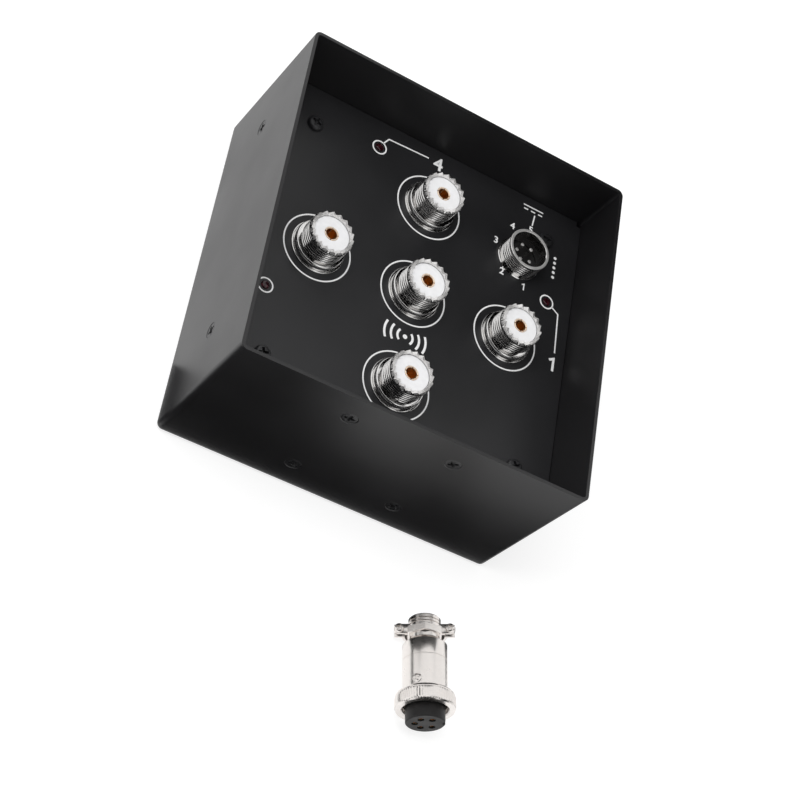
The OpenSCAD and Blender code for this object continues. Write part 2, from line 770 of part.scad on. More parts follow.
// Bobbin, winding and iron core.
module relay_coil(n) {
    at_relay(n) translate([0, coil_y, 0]) {
        color("#e8e4d8") rotate_extrude() polygon([
            [core_d / 2 + fit_gap, foot_z + foot_t], [bobbin_r, foot_z + foot_t],
            [bobbin_r, foot_z + foot_t + bobbin_t], [core_d / 2 + bobbin_wall, foot_z + foot_t + bobbin_t],
            [core_d / 2 + bobbin_wall, bobbin_end_z - bobbin_t], [bobbin_r, bobbin_end_z - bobbin_t],
            [bobbin_r, bobbin_end_z], [core_d / 2 + fit_gap, bobbin_end_z]]);
        color("#b5652a") translate([0, 0, foot_z + foot_t + bobbin_t])
            ring(coil_d / 2, core_d / 2 + bobbin_wall + fit_gap,
                bobbin_end_z - 2 * bobbin_t - foot_z - foot_t);
        color("#9a9ca0") translate([0, 0, foot_z]) cylinder(r = core_d / 2, h = pole_z - foot_z);
    }
}

// An L of flat iron: a foot under the coil and a leg that carries the armature.
module relay_yokes() {
    color("#8d9096") for (n = PORTS) at_relay(n) difference() {
        union() {
            translate([-yoke_w / 2, leg_y, foot_z]) cube([yoke_w, coil_y + coil_d / 2 - leg_y, foot_t]);
            translate([-yoke_w / 2, leg_y, foot_z]) cube([yoke_w, foot_t, hinge_z - foot_z]);
        }
        translate([0, coil_y, foot_z - 1]) cylinder(r = core_d / 2 + fit_gap, h = foot_t + 2);
        for (side = [-1, 1]) translate([side * coil_term_x, coil_term_y, foot_z - 1])
            cylinder(r = term_clear_r, h = foot_t + 2);
    }
}

// A hinged iron plate with a contact blade on it, tipped by a round contact button.
module relay_armature(n) {
    at_relay(n) {
        color("#a6a9ae") translate([-plate_w / 2, leg_y + plate_inset, hinge_z + hinge_gap])
            cube([plate_w, coil_y + coil_d / 2 - leg_y - plate_inset, plate_t]);
        color("#c98b45") translate([-blade_w / 2, coil_y - blade_over, blade_z])
            cube([blade_w, button_y + button_r + 0.4 - coil_y + blade_over, blade_t]);
        color("#d8d8d4") translate([0, button_y, blade_z - button_h]) cylinder(r = button_r, h = button_h);
    }
}

// Fixed contacts: a post under the button, and an arm that the blade rests against.
module relay_terminals() {
    color("#c98b45") for (n = PORTS) at_relay(n) {
        at_terminals() translate([0, 0, -board_t - 1]) cylinder(r = term_pin_r, h = board_t + 1 + foot_z);
        translate([-term_w / 2, button_y - term_t / 2, foot_z])
            cube([term_w, term_t, blade_z - 2 * button_h - button_drop - foot_z]);
        translate([0, button_y, blade_z - 2 * button_h - button_drop])
            cylinder(r = button_r, h = button_h);
        translate([-term_w / 2, post_y - term_t / 2, foot_z])
            cube([term_w, term_t, blade_z + blade_t + hinge_gap + arm_t - foot_z]);
        translate([-term_w / 2, button_y, blade_z + blade_t + hinge_gap])
            cube([term_w, post_y - button_y + term_t / 2, arm_t]);
    }
}

// ---- Loose cable plug ----

module plug_barrel() {
    color("#d6d2cf") at_plug() difference() {
        rotate_extrude() polygon([
            [barrel_bore_r, barrel_from], [stop_r, barrel_from], [stop_r, barrel_from + stop_l],
            [barrel_r, barrel_from + stop_l], [barrel_r, groove_z],
            [barrel_r - groove_depth, groove_z + groove_w / 2], [barrel_r, groove_z + groove_w],
            [barrel_r, barrel_l], [barrel_r - 0.9, barrel_l + shoulder_l * 0.45],
            [neck_r + 0.6, collar_z - 0.3], [neck_r + 0.3, collar_z], [entry_d / 2, collar_z],
            [entry_d / 2, collar_z - shoulder_wall], [barrel_bore_r, barrel_l - shoulder_wall]]);
        rotate([0, 0, set_screw_a]) translate([0, 0, set_screw_z]) rotate([0, 90, 0])
            cylinder(r = set_screw_r, h = barrel_r + 1);
    }
}

module plug_insert() {
    color("#161616") at_plug() difference() {
        cylinder(r = insert_r, h = insert_l);
        for (a = pin_angles) rotate([0, 0, -a]) translate([pin_circle_r, 0, -1])
            cylinder(r = socket_r + fit_gap, h = insert_l + 2);
        translate([insert_r, 0, -1]) cylinder(r = key_r + 0.2, h = barrel_from);
    }
}

module plug_contacts() {
    color("#c8a24a") at_plug() for (a = pin_angles) rotate([0, 0, -a])
        translate([pin_circle_r, 0, socket_sink]) difference() {
            cylinder(r = socket_r, h = insert_l + 3 - socket_sink);
            translate([0, 0, -1]) cylinder(r = pin_r + 0.02, h = socket_bore_l + 1);
            translate([0, 0, insert_l - socket_sink]) cylinder(r = pin_r - 0.1, h = 4);
        }
}

// The coupling nut is held on the barrel by the barrel's stop flange.
module plug_ring() {
    color("#bdb9b6") at_plug() rotate_extrude() polygon([
        [ring_thread_r, ring_low], [ring_d / 2 - 0.3, ring_low], [ring_d / 2, ring_low + 0.3],
        [ring_d / 2, ring_edge_z], [ring_d / 2 - 0.3, ring_edge_z + 0.3],
        [ring_d / 2 - 0.3, ring_edge_z + 0.5],
        [ring_bore_r + 0.5, ring_low + ring_l], [ring_bore_r, ring_low + ring_l - 0.2],
        [ring_bore_r, barrel_from + stop_l + run_gap], [stop_r + run_gap, barrel_from + stop_l + run_gap],
        [stop_r + run_gap, barrel_from - run_gap], [ring_thread_r, barrel_from - 2 * run_gap]]);
}

module plug_collar() {
    color("#cfcbc8") at_plug() difference() {
        union() {
            translate([0, 0, collar_z]) cylinder(r = neck_r, h = neck_l);
            translate([0, 0, hex_z]) hex(collar_af, hex_l);
            for (side = [-1, 1]) translate([side * (ear_x + lug_in) / 2, -lug_gap - lug_t / 2, saddle_z])
                cube([ear_x - lug_in + ear_l, lug_t, saddle_w - 1], center = true);
            translate([0, 0, hex_z + hex_l]) rotate_extrude() polygon([
                [entry_d / 2, 0], [collar_d / 2, 0], [collar_d / 2, 0.7], [collar_d / 2 - 0.35, 0.9],
                [collar_d / 2, 1.1], [collar_d / 2, 1.8], [collar_d / 2 - 0.35, 2], [collar_d / 2, 2.2],
                [collar_d / 2, collar_ring_l - 0.4], [collar_d / 2 - 0.4, collar_ring_l],
                [entry_d / 2, collar_ring_l]]);
        }
        translate([0, 0, collar_z - 1]) cylinder(r = entry_d / 2, h = collar_top - collar_z + 2);
        at_ears() cylinder(r = ear_hole_r, h = 2 * lug_t + 1, center = true);
    }
}

// The saddle's two screws, seen with +Z pointing to the front, from the lugs' back faces.
module at_ears() {
    for (side = [-1, 1]) translate([side * ear_x, -lug_gap, saddle_z]) rotate([90, 0, 0]) children();
}

// A bent strap that the two screws pull towards the collar to grip the cable.
module plug_saddle() {
    color("#c4c0bd") at_plug() difference() {
        translate([0, 0, saddle_z]) union() {
            intersection() {
                translate([0, 0, -saddle_w / 2]) ring(saddle_r + saddle_t, saddle_r, saddle_w);
                translate([-2 * saddle_r, 0, -saddle_w]) cube([4 * saddle_r, 2 * saddle_r, 2 * saddle_w]);
            }
            for (side = [-1, 1]) translate([side * (ear_x + 0.1), saddle_t / 2, 0])
                cube([ear_l, saddle_t, saddle_w], center = true);
        }
        at_ears() cylinder(r = ear_hole_r, h = 4 * lug_t, center = true);
    }
}

module plug_saddle_screws() {
    color("#9c9996") at_plug() at_ears() difference() {
        union() {
            translate([0, 0, lug_t + fit_gap]) cylinder(r = ear_head_r, h = ear_head_h);
            translate([0, 0, -saddle_t - 1]) cylinder(r = ear_screw_r, h = lug_t + saddle_t + 1.5);
        }
        for (a = [45, 135]) rotate([0, 0, a])
            translate([-ear_head_r * 0.65, -ear_cross_w / 2, lug_t + ear_head_h / 2])
                cube([ear_head_r * 1.3, ear_cross_w, ear_head_h]);
    }
}

module plug_set_screw() {
    color("#b9b5b2") at_plug() rotate([0, 0, set_screw_a]) translate([barrel_bore_r + 0.2, 0, set_screw_z])
        rotate([0, 90, 0]) cylinder(r = set_screw_r - fit_gap, h = barrel_r - barrel_bore_r);
}

case_shell();
socket_panel();
panel_screws();
side_screws();
flange_nuts();
bracket_screws();
bracket_nuts();
common_body();
common_insulator();
common_contact();
antenna_body(1);  // antenna_1_body
antenna_body(2);  // antenna_2_body
antenna_body(3);  // antenna_3_body
antenna_body(4);  // antenna_4_body
antenna_insulator(1);  // antenna_1_insulator
antenna_insulator(2);  // antenna_2_insulator
antenna_insulator(3);  // antenna_3_insulator
antenna_insulator(4);  // antenna_4_insulator
antenna_contact(1);  // antenna_1_contact
antenna_contact(2);  // antenna_2_contact
antenna_contact(3);  // antenna_3_contact
antenna_contact(4);  // antenna_4_contact
socket_washers();
earth_tags();
socket_nuts();
control_body();
control_insert();
control_pins();
control_washer();
control_nut();
signal_lamps();
circuit_board();
board_posts();
board_screws();
board_diodes();
feed_wires();
control_wires();
relay_cover(1);  // relay_1_cover
relay_cover(2);  // relay_2_cover
relay_cover(3);  // relay_3_cover
relay_cover(4);  // relay_4_cover
relay_coil(1);  // relay_1_coil
relay_coil(2);  // relay_2_coil
relay_coil(3);  // relay_3_coil
relay_coil(4);  // relay_4_coil
relay_armature(1);  // relay_1_armature
relay_armature(2);  // relay_2_armature
relay_armature(3);  // relay_3_armature
relay_armature(4);  // relay_4_armature
relay_bases();
relay_yokes();
relay_terminals();
plug_barrel();
plug_insert();
plug_contacts();
plug_ring();
plug_collar();
plug_saddle();
plug_saddle_screws();
plug_set_screw();
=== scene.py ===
"""Dresses the construction model of a remote coaxial antenna switch and its loose control plug."""

import json
import math

import bmesh
import bpy
from bpy.props import FloatProperty, FloatVectorProperty, IntProperty, PointerProperty
from mathutils import Euler, Matrix, Vector


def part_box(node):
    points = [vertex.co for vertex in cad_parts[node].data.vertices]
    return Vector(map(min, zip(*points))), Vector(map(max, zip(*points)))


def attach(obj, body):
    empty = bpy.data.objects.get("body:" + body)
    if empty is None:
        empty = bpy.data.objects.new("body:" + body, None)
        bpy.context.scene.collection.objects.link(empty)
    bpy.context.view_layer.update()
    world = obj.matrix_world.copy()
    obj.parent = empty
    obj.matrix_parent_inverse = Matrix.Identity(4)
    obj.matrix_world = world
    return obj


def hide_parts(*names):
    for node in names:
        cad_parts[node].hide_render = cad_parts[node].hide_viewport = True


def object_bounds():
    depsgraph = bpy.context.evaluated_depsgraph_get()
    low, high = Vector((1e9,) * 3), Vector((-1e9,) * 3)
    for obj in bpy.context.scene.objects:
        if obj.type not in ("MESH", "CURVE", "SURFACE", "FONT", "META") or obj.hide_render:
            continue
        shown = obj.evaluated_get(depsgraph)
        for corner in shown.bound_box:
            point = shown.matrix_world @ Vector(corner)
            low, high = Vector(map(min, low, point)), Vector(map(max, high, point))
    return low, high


bl_info = {
    "name": "Coaxial Antenna Switch",
    "version": (1, 0, 0),
    "blender": (4, 5, 0),
    "location": "3D View > Sidebar > Antenna Switch",
    "description": "Builds the finished surfaces of a coaxial antenna switch on its construction model",
    "category": "Add Mesh",
}

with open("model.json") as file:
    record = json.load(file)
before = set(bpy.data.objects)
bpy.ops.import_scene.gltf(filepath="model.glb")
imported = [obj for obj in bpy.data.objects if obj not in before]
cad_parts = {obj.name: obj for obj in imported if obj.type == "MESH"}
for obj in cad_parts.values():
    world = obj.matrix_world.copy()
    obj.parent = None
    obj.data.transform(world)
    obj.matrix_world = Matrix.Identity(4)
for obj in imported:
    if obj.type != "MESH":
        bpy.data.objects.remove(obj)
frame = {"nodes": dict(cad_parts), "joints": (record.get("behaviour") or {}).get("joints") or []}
cad_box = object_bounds()

MM = 0.001
FULL_TURN = 2 * math.pi
PORTS = (1, 2, 3, 4)
SOCKETS = ("common", *(f"antenna_{port}" for port in PORTS))
PIN_TURNS = (50, 116, 180, 244, 310)
SOFT_ANGLE = 32
CASE_BODY = "case"
PLUG_BODY = "plug"
NUT_BODY = "coupling_nut"


# ---- Settings ----

def length(name, description, millimetres):
    """A length property, whose default is given in millimetres."""
    return FloatProperty(name=name, description=description, default=millimetres * MM,
                         precision=5, unit="LENGTH")


def colour(name, description, value):
    return FloatVectorProperty(name=name, description=description, default=value,
                               size=3, min=0.0, max=1.0, subtype="COLOR")


def angle(name, description, degrees):
    return FloatProperty(name=name, description=description, default=math.radians(degrees),
                         subtype="ANGLE", unit="ROTATION")


class CaseSettings(bpy.types.PropertyGroup):
    """Sizes of the folded case and its screws."""
    sheet: length("Sheet", "Thickness of the folded sheet", 1.2)
    bend_radius: length("Bend radius", "Outer radius of the bends", 2.3)
    rim_round: length("Rim round", "Rounding of the coated sheet's edges", 0.18)
    screw_radius: length("Screw radius", "Radius of the machine screws' shanks", 1.5)
    sunk_head_radius: length("Sunk head radius", "Radius of the countersunk heads", 2.8)
    sunk_depth: length("Sunk depth", "Depth of the countersunk heads", 1.1)
    side_screw_y: length("Side screw place", "Distance of the side screws from the middle", 42.0)
    side_screw_drop: length("Side screw drop", "Depth of the side screws below the panel's face", 7.5)
    bracket_width: length("Bracket width", "Spacing of the bracket screws along X", 38.0)
    bracket_low: length("Bracket screw height", "Height of the lower bracket screws", 13.9)
    bracket_length: length("Bracket length", "Spacing of the bracket screws along Z", 37.3)
    pan_head_radius: length("Pan head radius", "Radius of the panel screws' heads", 2.9)
    pan_head_height: length("Pan head height", "Height of the panel screws' heads", 1.7)
    corner_place: length("Corner screw place", "Distance of the panel screws from the middle", 47.5)


class SocketSettings(bpy.types.PropertyGroup):
    """Sizes of the five coaxial sockets, above the panel's face."""
    thread_radius: length("Thread radius", "Crest radius of the thread", 7.9375)
    thread_depth: length("Thread depth", "Depth of the thread", 0.55)
    thread_pitch: length("Thread pitch", "Rise of the thread in one turn", 1.058)
    rim_height: length("Rim height", "Height of the teeth's tips", 11.5)
    tooth_depth: length("Tooth depth", "Depth of the notches in the rim", 1.3)
    crown_taper: length("Crown taper", "Narrowing of the toothed rim towards its tips", 0.35)
    tooth_count: IntProperty(name="Teeth", description="Number of teeth round the rim",
                             default=18, min=6, max=36)
    flange_radius: length("Flange radius", "Radius of the seating flange", 9.1)
    flange_height: length("Flange height", "Thickness of the seating flange", 2.4)
    washer_radius: length("Washer radius", "Radius of the bright washer", 9.75)
    washer_height: length("Washer height", "Thickness of the bright washer", 0.6)
    shank_length: length("Shank length", "Length of the shell behind the panel's face", 10.0)
    insulator_radius: length("Insulator radius", "Radius of the white insulator", 6.5)
    insulator_sink: length("Insulator sink", "Depth of the insulator's face below the tips", 1.5)
    insulator_rear_radius: length("Insulator neck", "Radius of the insulator's rear", 5.0)
    contact_bore: length("Contact bore", "Radius of the centre contact's bore", 2.0)
    contact_radius: length("Contact radius", "Outer radius of the centre contact", 2.5)
    contact_depth: length("Contact depth", "Depth of the centre contact's bore", 9.0)


class ControlSettings(bpy.types.PropertyGroup):
    """Sizes of the five-pole control socket, above the panel's face."""
    thread_radius: length("Thread radius", "Crest radius of the thread", 8.0)
    thread_depth: length("Thread depth", "Depth of the thread", 0.5)
    thread_pitch: length("Thread pitch", "Rise of the thread in one turn", 1.0)
    height: length("Height", "Height of the rim", 8.0)
    bore_radius: length("Bore radius", "Radius of the open cup", 6.9)
    flange_radius: length("Flange radius", "Radius of the seating flange", 8.5)
    flange_height: length("Flange height", "Thickness of the seating flange", 1.0)
    insert_height: length("Insert height", "Height of the black insert's face", 1.0)
    shank_length: length("Shank length", "Length of the shell behind the panel's face", 10.0)
    pin_radius: length("Pin radius", "Radius of the contact pins", 0.75)
    pin_circle: length("Pin circle", "Radius of the circle that the pins stand on", 3.4)
    pin_sink: length("Pin sink", "Depth of the pins' tips below the rim", 3.0)


class PrintSettings(bpy.types.PropertyGroup):
    """Sizes of the white screen print on the panel."""
    ink: length("Ink", "Thickness of the ink", 0.04)
    stroke: length("Stroke", "Width of the circles and leader lines", 0.52)
    circle_radius: length("Socket circle", "Radius of the circle round each socket", 12.3)
    lamp_ring: length("Lamp ring", "Radius of the ring round each lamp", 2.6)
    lamp_radius: length("Lamp radius", "Radius of the lamps' lenses", 1.5)
    lamp_rise: length("Lamp rise", "Height of the lenses' domes", 0.6)
    lamp_out: length("Lamp place outwards", "Distance of the lamps from the middle", 51.5)
    lamp_side: length("Lamp place sideways", "Sideways distance of the lamps", 22.5)
    port_digit: length("Port number", "Height of the antenna sockets' numbers", 5.5)
    pin_digit: length("Pin number", "Height of the control pins' numbers", 2.8)


class PlugSettings(bpy.types.PropertyGroup):
    """Sizes of the loose cable plug, along its axis from the mating face."""
    roll: angle("Roll", "Turn of the plug about its own axis", -30.0)
    barrel_radius: length("Barrel radius", "Radius of the barrel", 7.35)
    barrel_length: length("Barrel length", "Height of the barrel's shoulder", 27.1)
    shoulder: length("Shoulder", "Length of the sloped shoulder", 1.8)
    groove_height: length("Groove height", "Height of the fine groove round the barrel", 21.3)
    entry_radius: length("Entry radius", "Radius of the cable entry", 3.7)
    collar_radius: length("Collar radius", "Outer radius of the cable collar", 5.3)
    hex_flats: length("Hexagon", "Width across the flats of the collar's hexagon", 11.0)
    neck: length("Neck", "Length of the round neck under the hexagon", 1.5)
    hex_height: length("Hexagon height", "Length of the hexagon", 2.8)
    collar_height: length("Collar height", "Length of the round collar over the hexagon", 3.6)
    nut_low: length("Nut start", "Height of the coupling nut's lower edge", 4.4)
    nut_length: length("Nut length", "Length of the coupling nut", 6.0)
    nut_radius: length("Nut radius", "Outer radius of the coupling nut", 9.9)
    knurl_count: IntProperty(name="Knurls", description="Number of knurls round the coupling nut",
                             default=72, min=24, max=160)
    knurl_depth: length("Knurl depth", "Depth of the knurling", 0.2)
    insert_radius: length("Insert radius", "Radius of the black insert", 6.5)
    insert_length: length("Insert length", "Length of the black insert", 13.0)
    saddle_width: length("Saddle width", "Width of the saddle strap along the plug", 4.4)
    saddle_sheet: length("Saddle sheet", "Thickness of the saddle strap", 1.0)
    ear_length: length("Ear length", "Length of the strap's ears", 3.2)
    set_screw_turn: angle("Set screw place", "Place of the set screw round the barrel", -112.0)
    set_screw_height: length("Set screw height", "Height of the set screw", 12.8)


class FinishSettings(bpy.types.PropertyGroup):
    """Colours of the finishes."""
    coat: colour("Powder coat", "Satin coat of the case", (0.0088, 0.0085, 0.0094))
    panel_coat: colour("Panel coat", "Satin coat of the panel", (0.0120, 0.0120, 0.0132))
    ink: colour("Ink", "White screen print", (0.92, 0.92, 0.92))
    nickel: colour("Nickel", "Bright nickel plate", (0.78, 0.77, 0.76))
    warm_nickel: colour("Warm nickel", "Nickel plate of the plug", (0.84, 0.80, 0.77))
    polymer: colour("Fluoropolymer", "White insulators", (0.90, 0.90, 0.91))
    gold: colour("Gold", "Gold flashed contacts", (0.94, 0.60, 0.25))
    phenolic: colour("Phenolic", "Black moulded inserts", (0.008, 0.0075, 0.0075))
    lens: colour("Lens", "Tinted lamp lenses", (0.06, 0.007, 0.014))
    black_steel: colour("Black steel", "Blackened screws", (0.010, 0.010, 0.011))
    # Paler, less metallic gold for the contacts' upward mouths: a painted highlight.
    gold_painted_highlight: colour("Gold painted highlight", "Pale mouths of the contacts", (0.98, 0.80, 0.62))


class StageSettings(bpy.types.PropertyGroup):
    """Camera, floor and lamps."""
    camera_place: FloatVectorProperty(name="Camera", description="Place of the camera", size=3,
                                      default=(-0.2172, -0.3634, 0.5017), subtype="TRANSLATION",
                                      unit="LENGTH")
    camera_turn: FloatVectorProperty(name="Camera turn", description="Turn of the camera", size=3,
                                     default=tuple(math.radians(a) for a in (27.42, -30.53, 10.10)),
                                     subtype="EULER", unit="ROTATION")
    focal_length: FloatProperty(name="Focal length", description="Camera's focal length in millimetres",
                                default=84.25, min=1.0)
    floor_size: length("Floor size", "Side of the pale floor", 6000.0)
    key_power: FloatProperty(name="Key lamp", description="Power of the large lamp", default=5.6,
                             min=0.0, unit="POWER")
    side_power: FloatProperty(name="Side lamp", description="Power of the low side lamp", default=3.0,
                              min=0.0, unit="POWER")
    sky: FloatProperty(name="Sky", description="Strength of the even light from all round",
                       default=0.5, min=0.0)


GROUPS = {
    "switch_case": CaseSettings,
    "switch_socket": SocketSettings,
    "switch_control": ControlSettings,
    "switch_print": PrintSettings,
    "switch_plug": PlugSettings,
    "switch_finish": FinishSettings,
    "switch_stage": StageSettings,
}


# ---- Places, from the frame ----

def centre(node):
    low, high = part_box(node)
    return (low + high) / 2


def panel_face():
    """Height of the panel's face."""
    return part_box("socket_panel")[1].z


def on_panel(node):
    """Place on the panel's face under the middle of a node."""
    middle = centre(node)
    return Matrix.Translation((middle.x, middle.y, panel_face()))


def port_turn(port):
    """Turn of an antenna socket's own pattern about the panel's middle."""
    return Matrix.Rotation(-FULL_TURN / 4 * (port - 1), 4, "Z")


def socket_place(name):
    place = on_panel(name + "_body")
    return place if name == "common" else place @ port_turn(int(name[-1]))


def plug_place(s):
    """The plug's own frame: +Z runs from its mating face to its cable entry, and -Y is its front."""
    spin = next(j for j in frame["joints"] if j["name"] == "ring_spin")
    along = Vector(spin["axis"]).normalized()
    level = along.cross(Vector((0, 0, 1))).normalized()
    down = along.cross(level)
    side = math.cos(s.roll) * level + math.sin(s.roll) * down
    start = Vector(spin["pos_m"]) - along * (s.nut_low + s.nut_length / 2)
    turn = Matrix((side, along.cross(side), along)).transposed()
    return Matrix.Translation(start) @ turn.to_4x4()


def stop_height(s):
    """Height of the barrel's stop ring, which the coupling nut bears on."""
    return s.nut_low + s.nut_length - 3.2 * MM


# ---- Modelling ----

def added(bm, before):
    return [v for v in bm.verts if v not in before]


def points_in(geometry):
    return [g for g in geometry if isinstance(g, bmesh.types.BMVert)]


def edges_in(geometry):
    return [g for g in geometry if isinstance(g, bmesh.types.BMEdge)]


def closed_line(bm, points):
    """New points, and the edges that join each to the next and the last to the first."""
    verts = [bm.verts.new(p) for p in points]
    return verts, [bm.edges.new(pair) for pair in zip(verts, verts[1:] + verts[:1])]


def fill_ends(bm, verts):
    """Closes the open ends of a shape that was turned part of the way."""
    ends = {e for v in verts for e in v.link_edges if e.is_boundary}
    bmesh.ops.holes_fill(bm, edges=list(ends), sides=0)


def corner(r, z, size, first, last, count=4):
    """Points of a turned piece's rounded corner, between two directions in degrees."""
    middle = math.radians((first + last) / 2)
    inwards = size * math.sqrt(2)
    return arc(r - inwards * math.cos(middle), z - inwards * math.sin(middle), size, first, last, count)


def mark_rings(bm, verts):
    """Notes how far round a turned surface's own profile each point lies, for its turning marks."""
    layer = bm.verts.layers.float.get("ring") or bm.verts.layers.float.new("ring")
    for v in verts:
        v[layer] = v.co.z + 1.7 * math.hypot(v.co.x, v.co.y)


def lathe(bm, profile, steps=96, place=None, turn=FULL_TURN):
    """Turns a closed half outline of (radius, height) points about Z."""
    mark_rings(bm, [])
    before = set(bm.verts)
    verts, edges = closed_line(bm, [(r, 0.0, z) for r, z in profile])
    full = math.isclose(turn, FULL_TURN)
    bmesh.ops.spin(bm, geom=verts + edges, cent=(0, 0, 0), axis=(0, 0, 1), angle=turn,
                   steps=steps, use_merge=full)
    bmesh.ops.remove_doubles(bm, verts=added(bm, before), dist=1e-7)
    if not full:
        fill_ends(bm, added(bm, before))
    fresh = added(bm, before)
    mark_rings(bm, fresh)
    if place:
        bmesh.ops.transform(bm, matrix=place, verts=fresh)
    return fresh


def thread_ridge(bm, crest, root, pitch, start, turns):
    """A screw thread's ridge: its section is turned about Z while it climbs."""
    mark_rings(bm, [])
    before = set(bm.verts)
    steps = 72
    flank = math.radians(30)
    sink = 0.06 * MM
    round_crest = pitch * 0.16
    foot = round_crest * math.cos(flank) + (crest - root - round_crest / 2) * math.tan(flank)
    section = [(root - sink, -foot), (root, -foot)]
    section += arc(crest - round_crest, 0, round_crest, -60, 60, 6)
    section += [(root, foot), (root - sink, foot)]
    verts, edges = closed_line(bm, [(r, 0.0, start + z) for r, z in section])
    count = round(steps * turns)
    bmesh.ops.spin(bm, geom=verts + edges, cent=(0, 0, 0), axis=(0, 0, 1),
                   dvec=(0, 0, pitch / steps), angle=FULL_TURN / steps * count, steps=count)
    fresh = added(bm, before)
    fill_ends(bm, fresh)
    mark_rings(bm, fresh)


def soften(bm, verts, offset, limit=30, segments=2):
    """Rounds the sharp edges between the given points."""
    chosen = set(verts)
    sharp = [e for e in bm.edges if e.verts[0] in chosen and e.verts[1] in chosen
             and len(e.link_faces) == 2 and e.calc_face_angle(0) > math.radians(limit)]
    bmesh.ops.bevel(bm, geom=sharp, offset=offset, segments=segments, profile=0.5,
                    affect="EDGES", material=-1, clamp_overlap=True)


def prism(bm, outline, low, high, place=None):
    """Raises a flat outline of (x, y) points from one height to another."""
    before = set(bm.verts)
    face = bm.faces.new([bm.verts.new((x, y, low)) for x, y in outline])
    raised = bmesh.ops.extrude_face_region(bm, geom=[face], use_keep_orig=True)
    bmesh.ops.translate(bm, vec=(0, 0, high - low), verts=points_in(raised["geom"]))
    fresh = added(bm, before)
    if place:
        bmesh.ops.transform(bm, matrix=place, verts=fresh)
    return fresh


def ribbon(bm, points, width, low, high, place=None):
    """A printed stroke of even width along a line of (x, y) points, with mitred corners."""
    path = [Vector(p) for p in points]
    left, right = [], []
    for i, here in enumerate(path):
        ways = [(b - a).normalized() for a, b in ((path[max(i - 1, 0)], here),
                                                  (here, path[min(i + 1, len(path) - 1)]))
                if (b - a).length > 0]
        across = sum(ways, Vector((0, 0))).normalized().orthogonal()
        across *= width / 2 / max(0.3, across.dot(ways[0].orthogonal()))
        left.append(here + across)
        right.append(here - across)
    return prism(bm, [tuple(p) for p in left + right[::-1]], low, high, place)


def arc(cx, cy, radius, start, end, count):
    """Points along an arc, with its angles in degrees."""
    turns = [math.radians(start + (end - start) * i / count) for i in range(count + 1)]
    return [(cx + radius * math.cos(a), cy + radius * math.sin(a)) for a in turns]


def cross_head(bm, radius, height, shank, dome, sunk):
    """A cross-recessed head, domed or countersunk. Gives the edges that its shank starts from."""
    recess = sunk * 0.8 if sunk else min(height, radius) * 0.62
    reach, half = radius * 0.68, radius * (0.23 if sunk else 0.18)
    rim = bmesh.ops.create_circle(bm, radius=radius * dome, segments=32)["verts"]
    bmesh.ops.translate(bm, vec=(0, 0, height), verts=rim)
    outline = []
    for quarter in range(4):
        turn = Matrix.Rotation(FULL_TURN / 4 * quarter, 2)
        arm = ((reach * 0.94, -half * 0.8), (reach, 0), (reach * 0.94, half * 0.8), (half, half))
        outline += [turn @ Vector(p) for p in arm]
    _, cross = closed_line(bm, [(p.x, p.y, height) for p in outline])
    loop = [e for e in bm.edges if e.verts[0] in rim and e.verts[1] in rim]
    bmesh.ops.triangle_fill(bm, edges=cross + loop, use_beauty=True)
    floor = bmesh.ops.extrude_edge_only(bm, edges=cross)["geom"]
    bmesh.ops.translate(bm, vec=(0, 0, -recess), verts=points_in(floor))
    bmesh.ops.scale(bm, vec=(0.7, 0.7, 1), verts=points_in(floor))
    bmesh.ops.contextual_create(bm, geom=edges_in(floor))
    if sunk:
        rings = [(radius, height - 0.12 * MM), (shank, height - sunk)]
    else:
        rings = [(radius * 0.80, height * 0.93), (radius * 0.93, height * 0.74),
                 (radius, height * 0.42), (radius, 0.0), (shank, 0.0)]
    for r, z in rings:
        grown = bmesh.ops.extrude_edge_only(bm, edges=loop)["geom"]
        ring = points_in(grown)
        size = math.hypot(ring[0].co.x, ring[0].co.y)
        bmesh.ops.scale(bm, vec=(r / size, r / size, 1), verts=ring)
        bmesh.ops.translate(bm, vec=(0, 0, z - ring[0].co.z), verts=ring)
        loop = edges_in(grown)
    return loop


def screw(bm, radius, height, shank, tail, place, sunk=0.0, dome=0.62, turn=0.0):
    """A whole screw whose head stands on z = 0 and whose shank ends at -tail."""
    before = set(bm.verts)
    loop = cross_head(bm, radius, height, shank, dome, sunk)
    grown = bmesh.ops.extrude_edge_only(bm, edges=loop)["geom"]
    ring = points_in(grown)
    bmesh.ops.translate(bm, vec=(0, 0, -tail - ring[0].co.z), verts=ring)
    bmesh.ops.contextual_create(bm, geom=edges_in(grown))
    bmesh.ops.transform(bm, matrix=place @ Matrix.Rotation(turn, 4, "Z"), verts=added(bm, before))


def shade_soft(bm, smooth_under=SOFT_ANGLE):
    """Soft shading, except across edges sharper than an angle in degrees."""
    for face in bm.faces:
        face.smooth = True
    for edge in bm.edges:
        edge.smooth = edge.calc_face_angle(0) < math.radians(smooth_under)


def as_object(name, bm, smooth_under=SOFT_ANGLE):
    """Makes the mesh an object, with soft shading except across sharp edges."""
    bmesh.ops.dissolve_degenerate(bm, dist=1e-8, edges=bm.edges)
    bmesh.ops.recalc_face_normals(bm, faces=bm.faces)
    shade_soft(bm, smooth_under)
    mesh = bpy.data.meshes.new(name)
    bm.to_mesh(mesh)
    bm.free()
    obj = bpy.data.objects.new(name, mesh)
    bpy.context.scene.collection.objects.link(obj)
    return obj


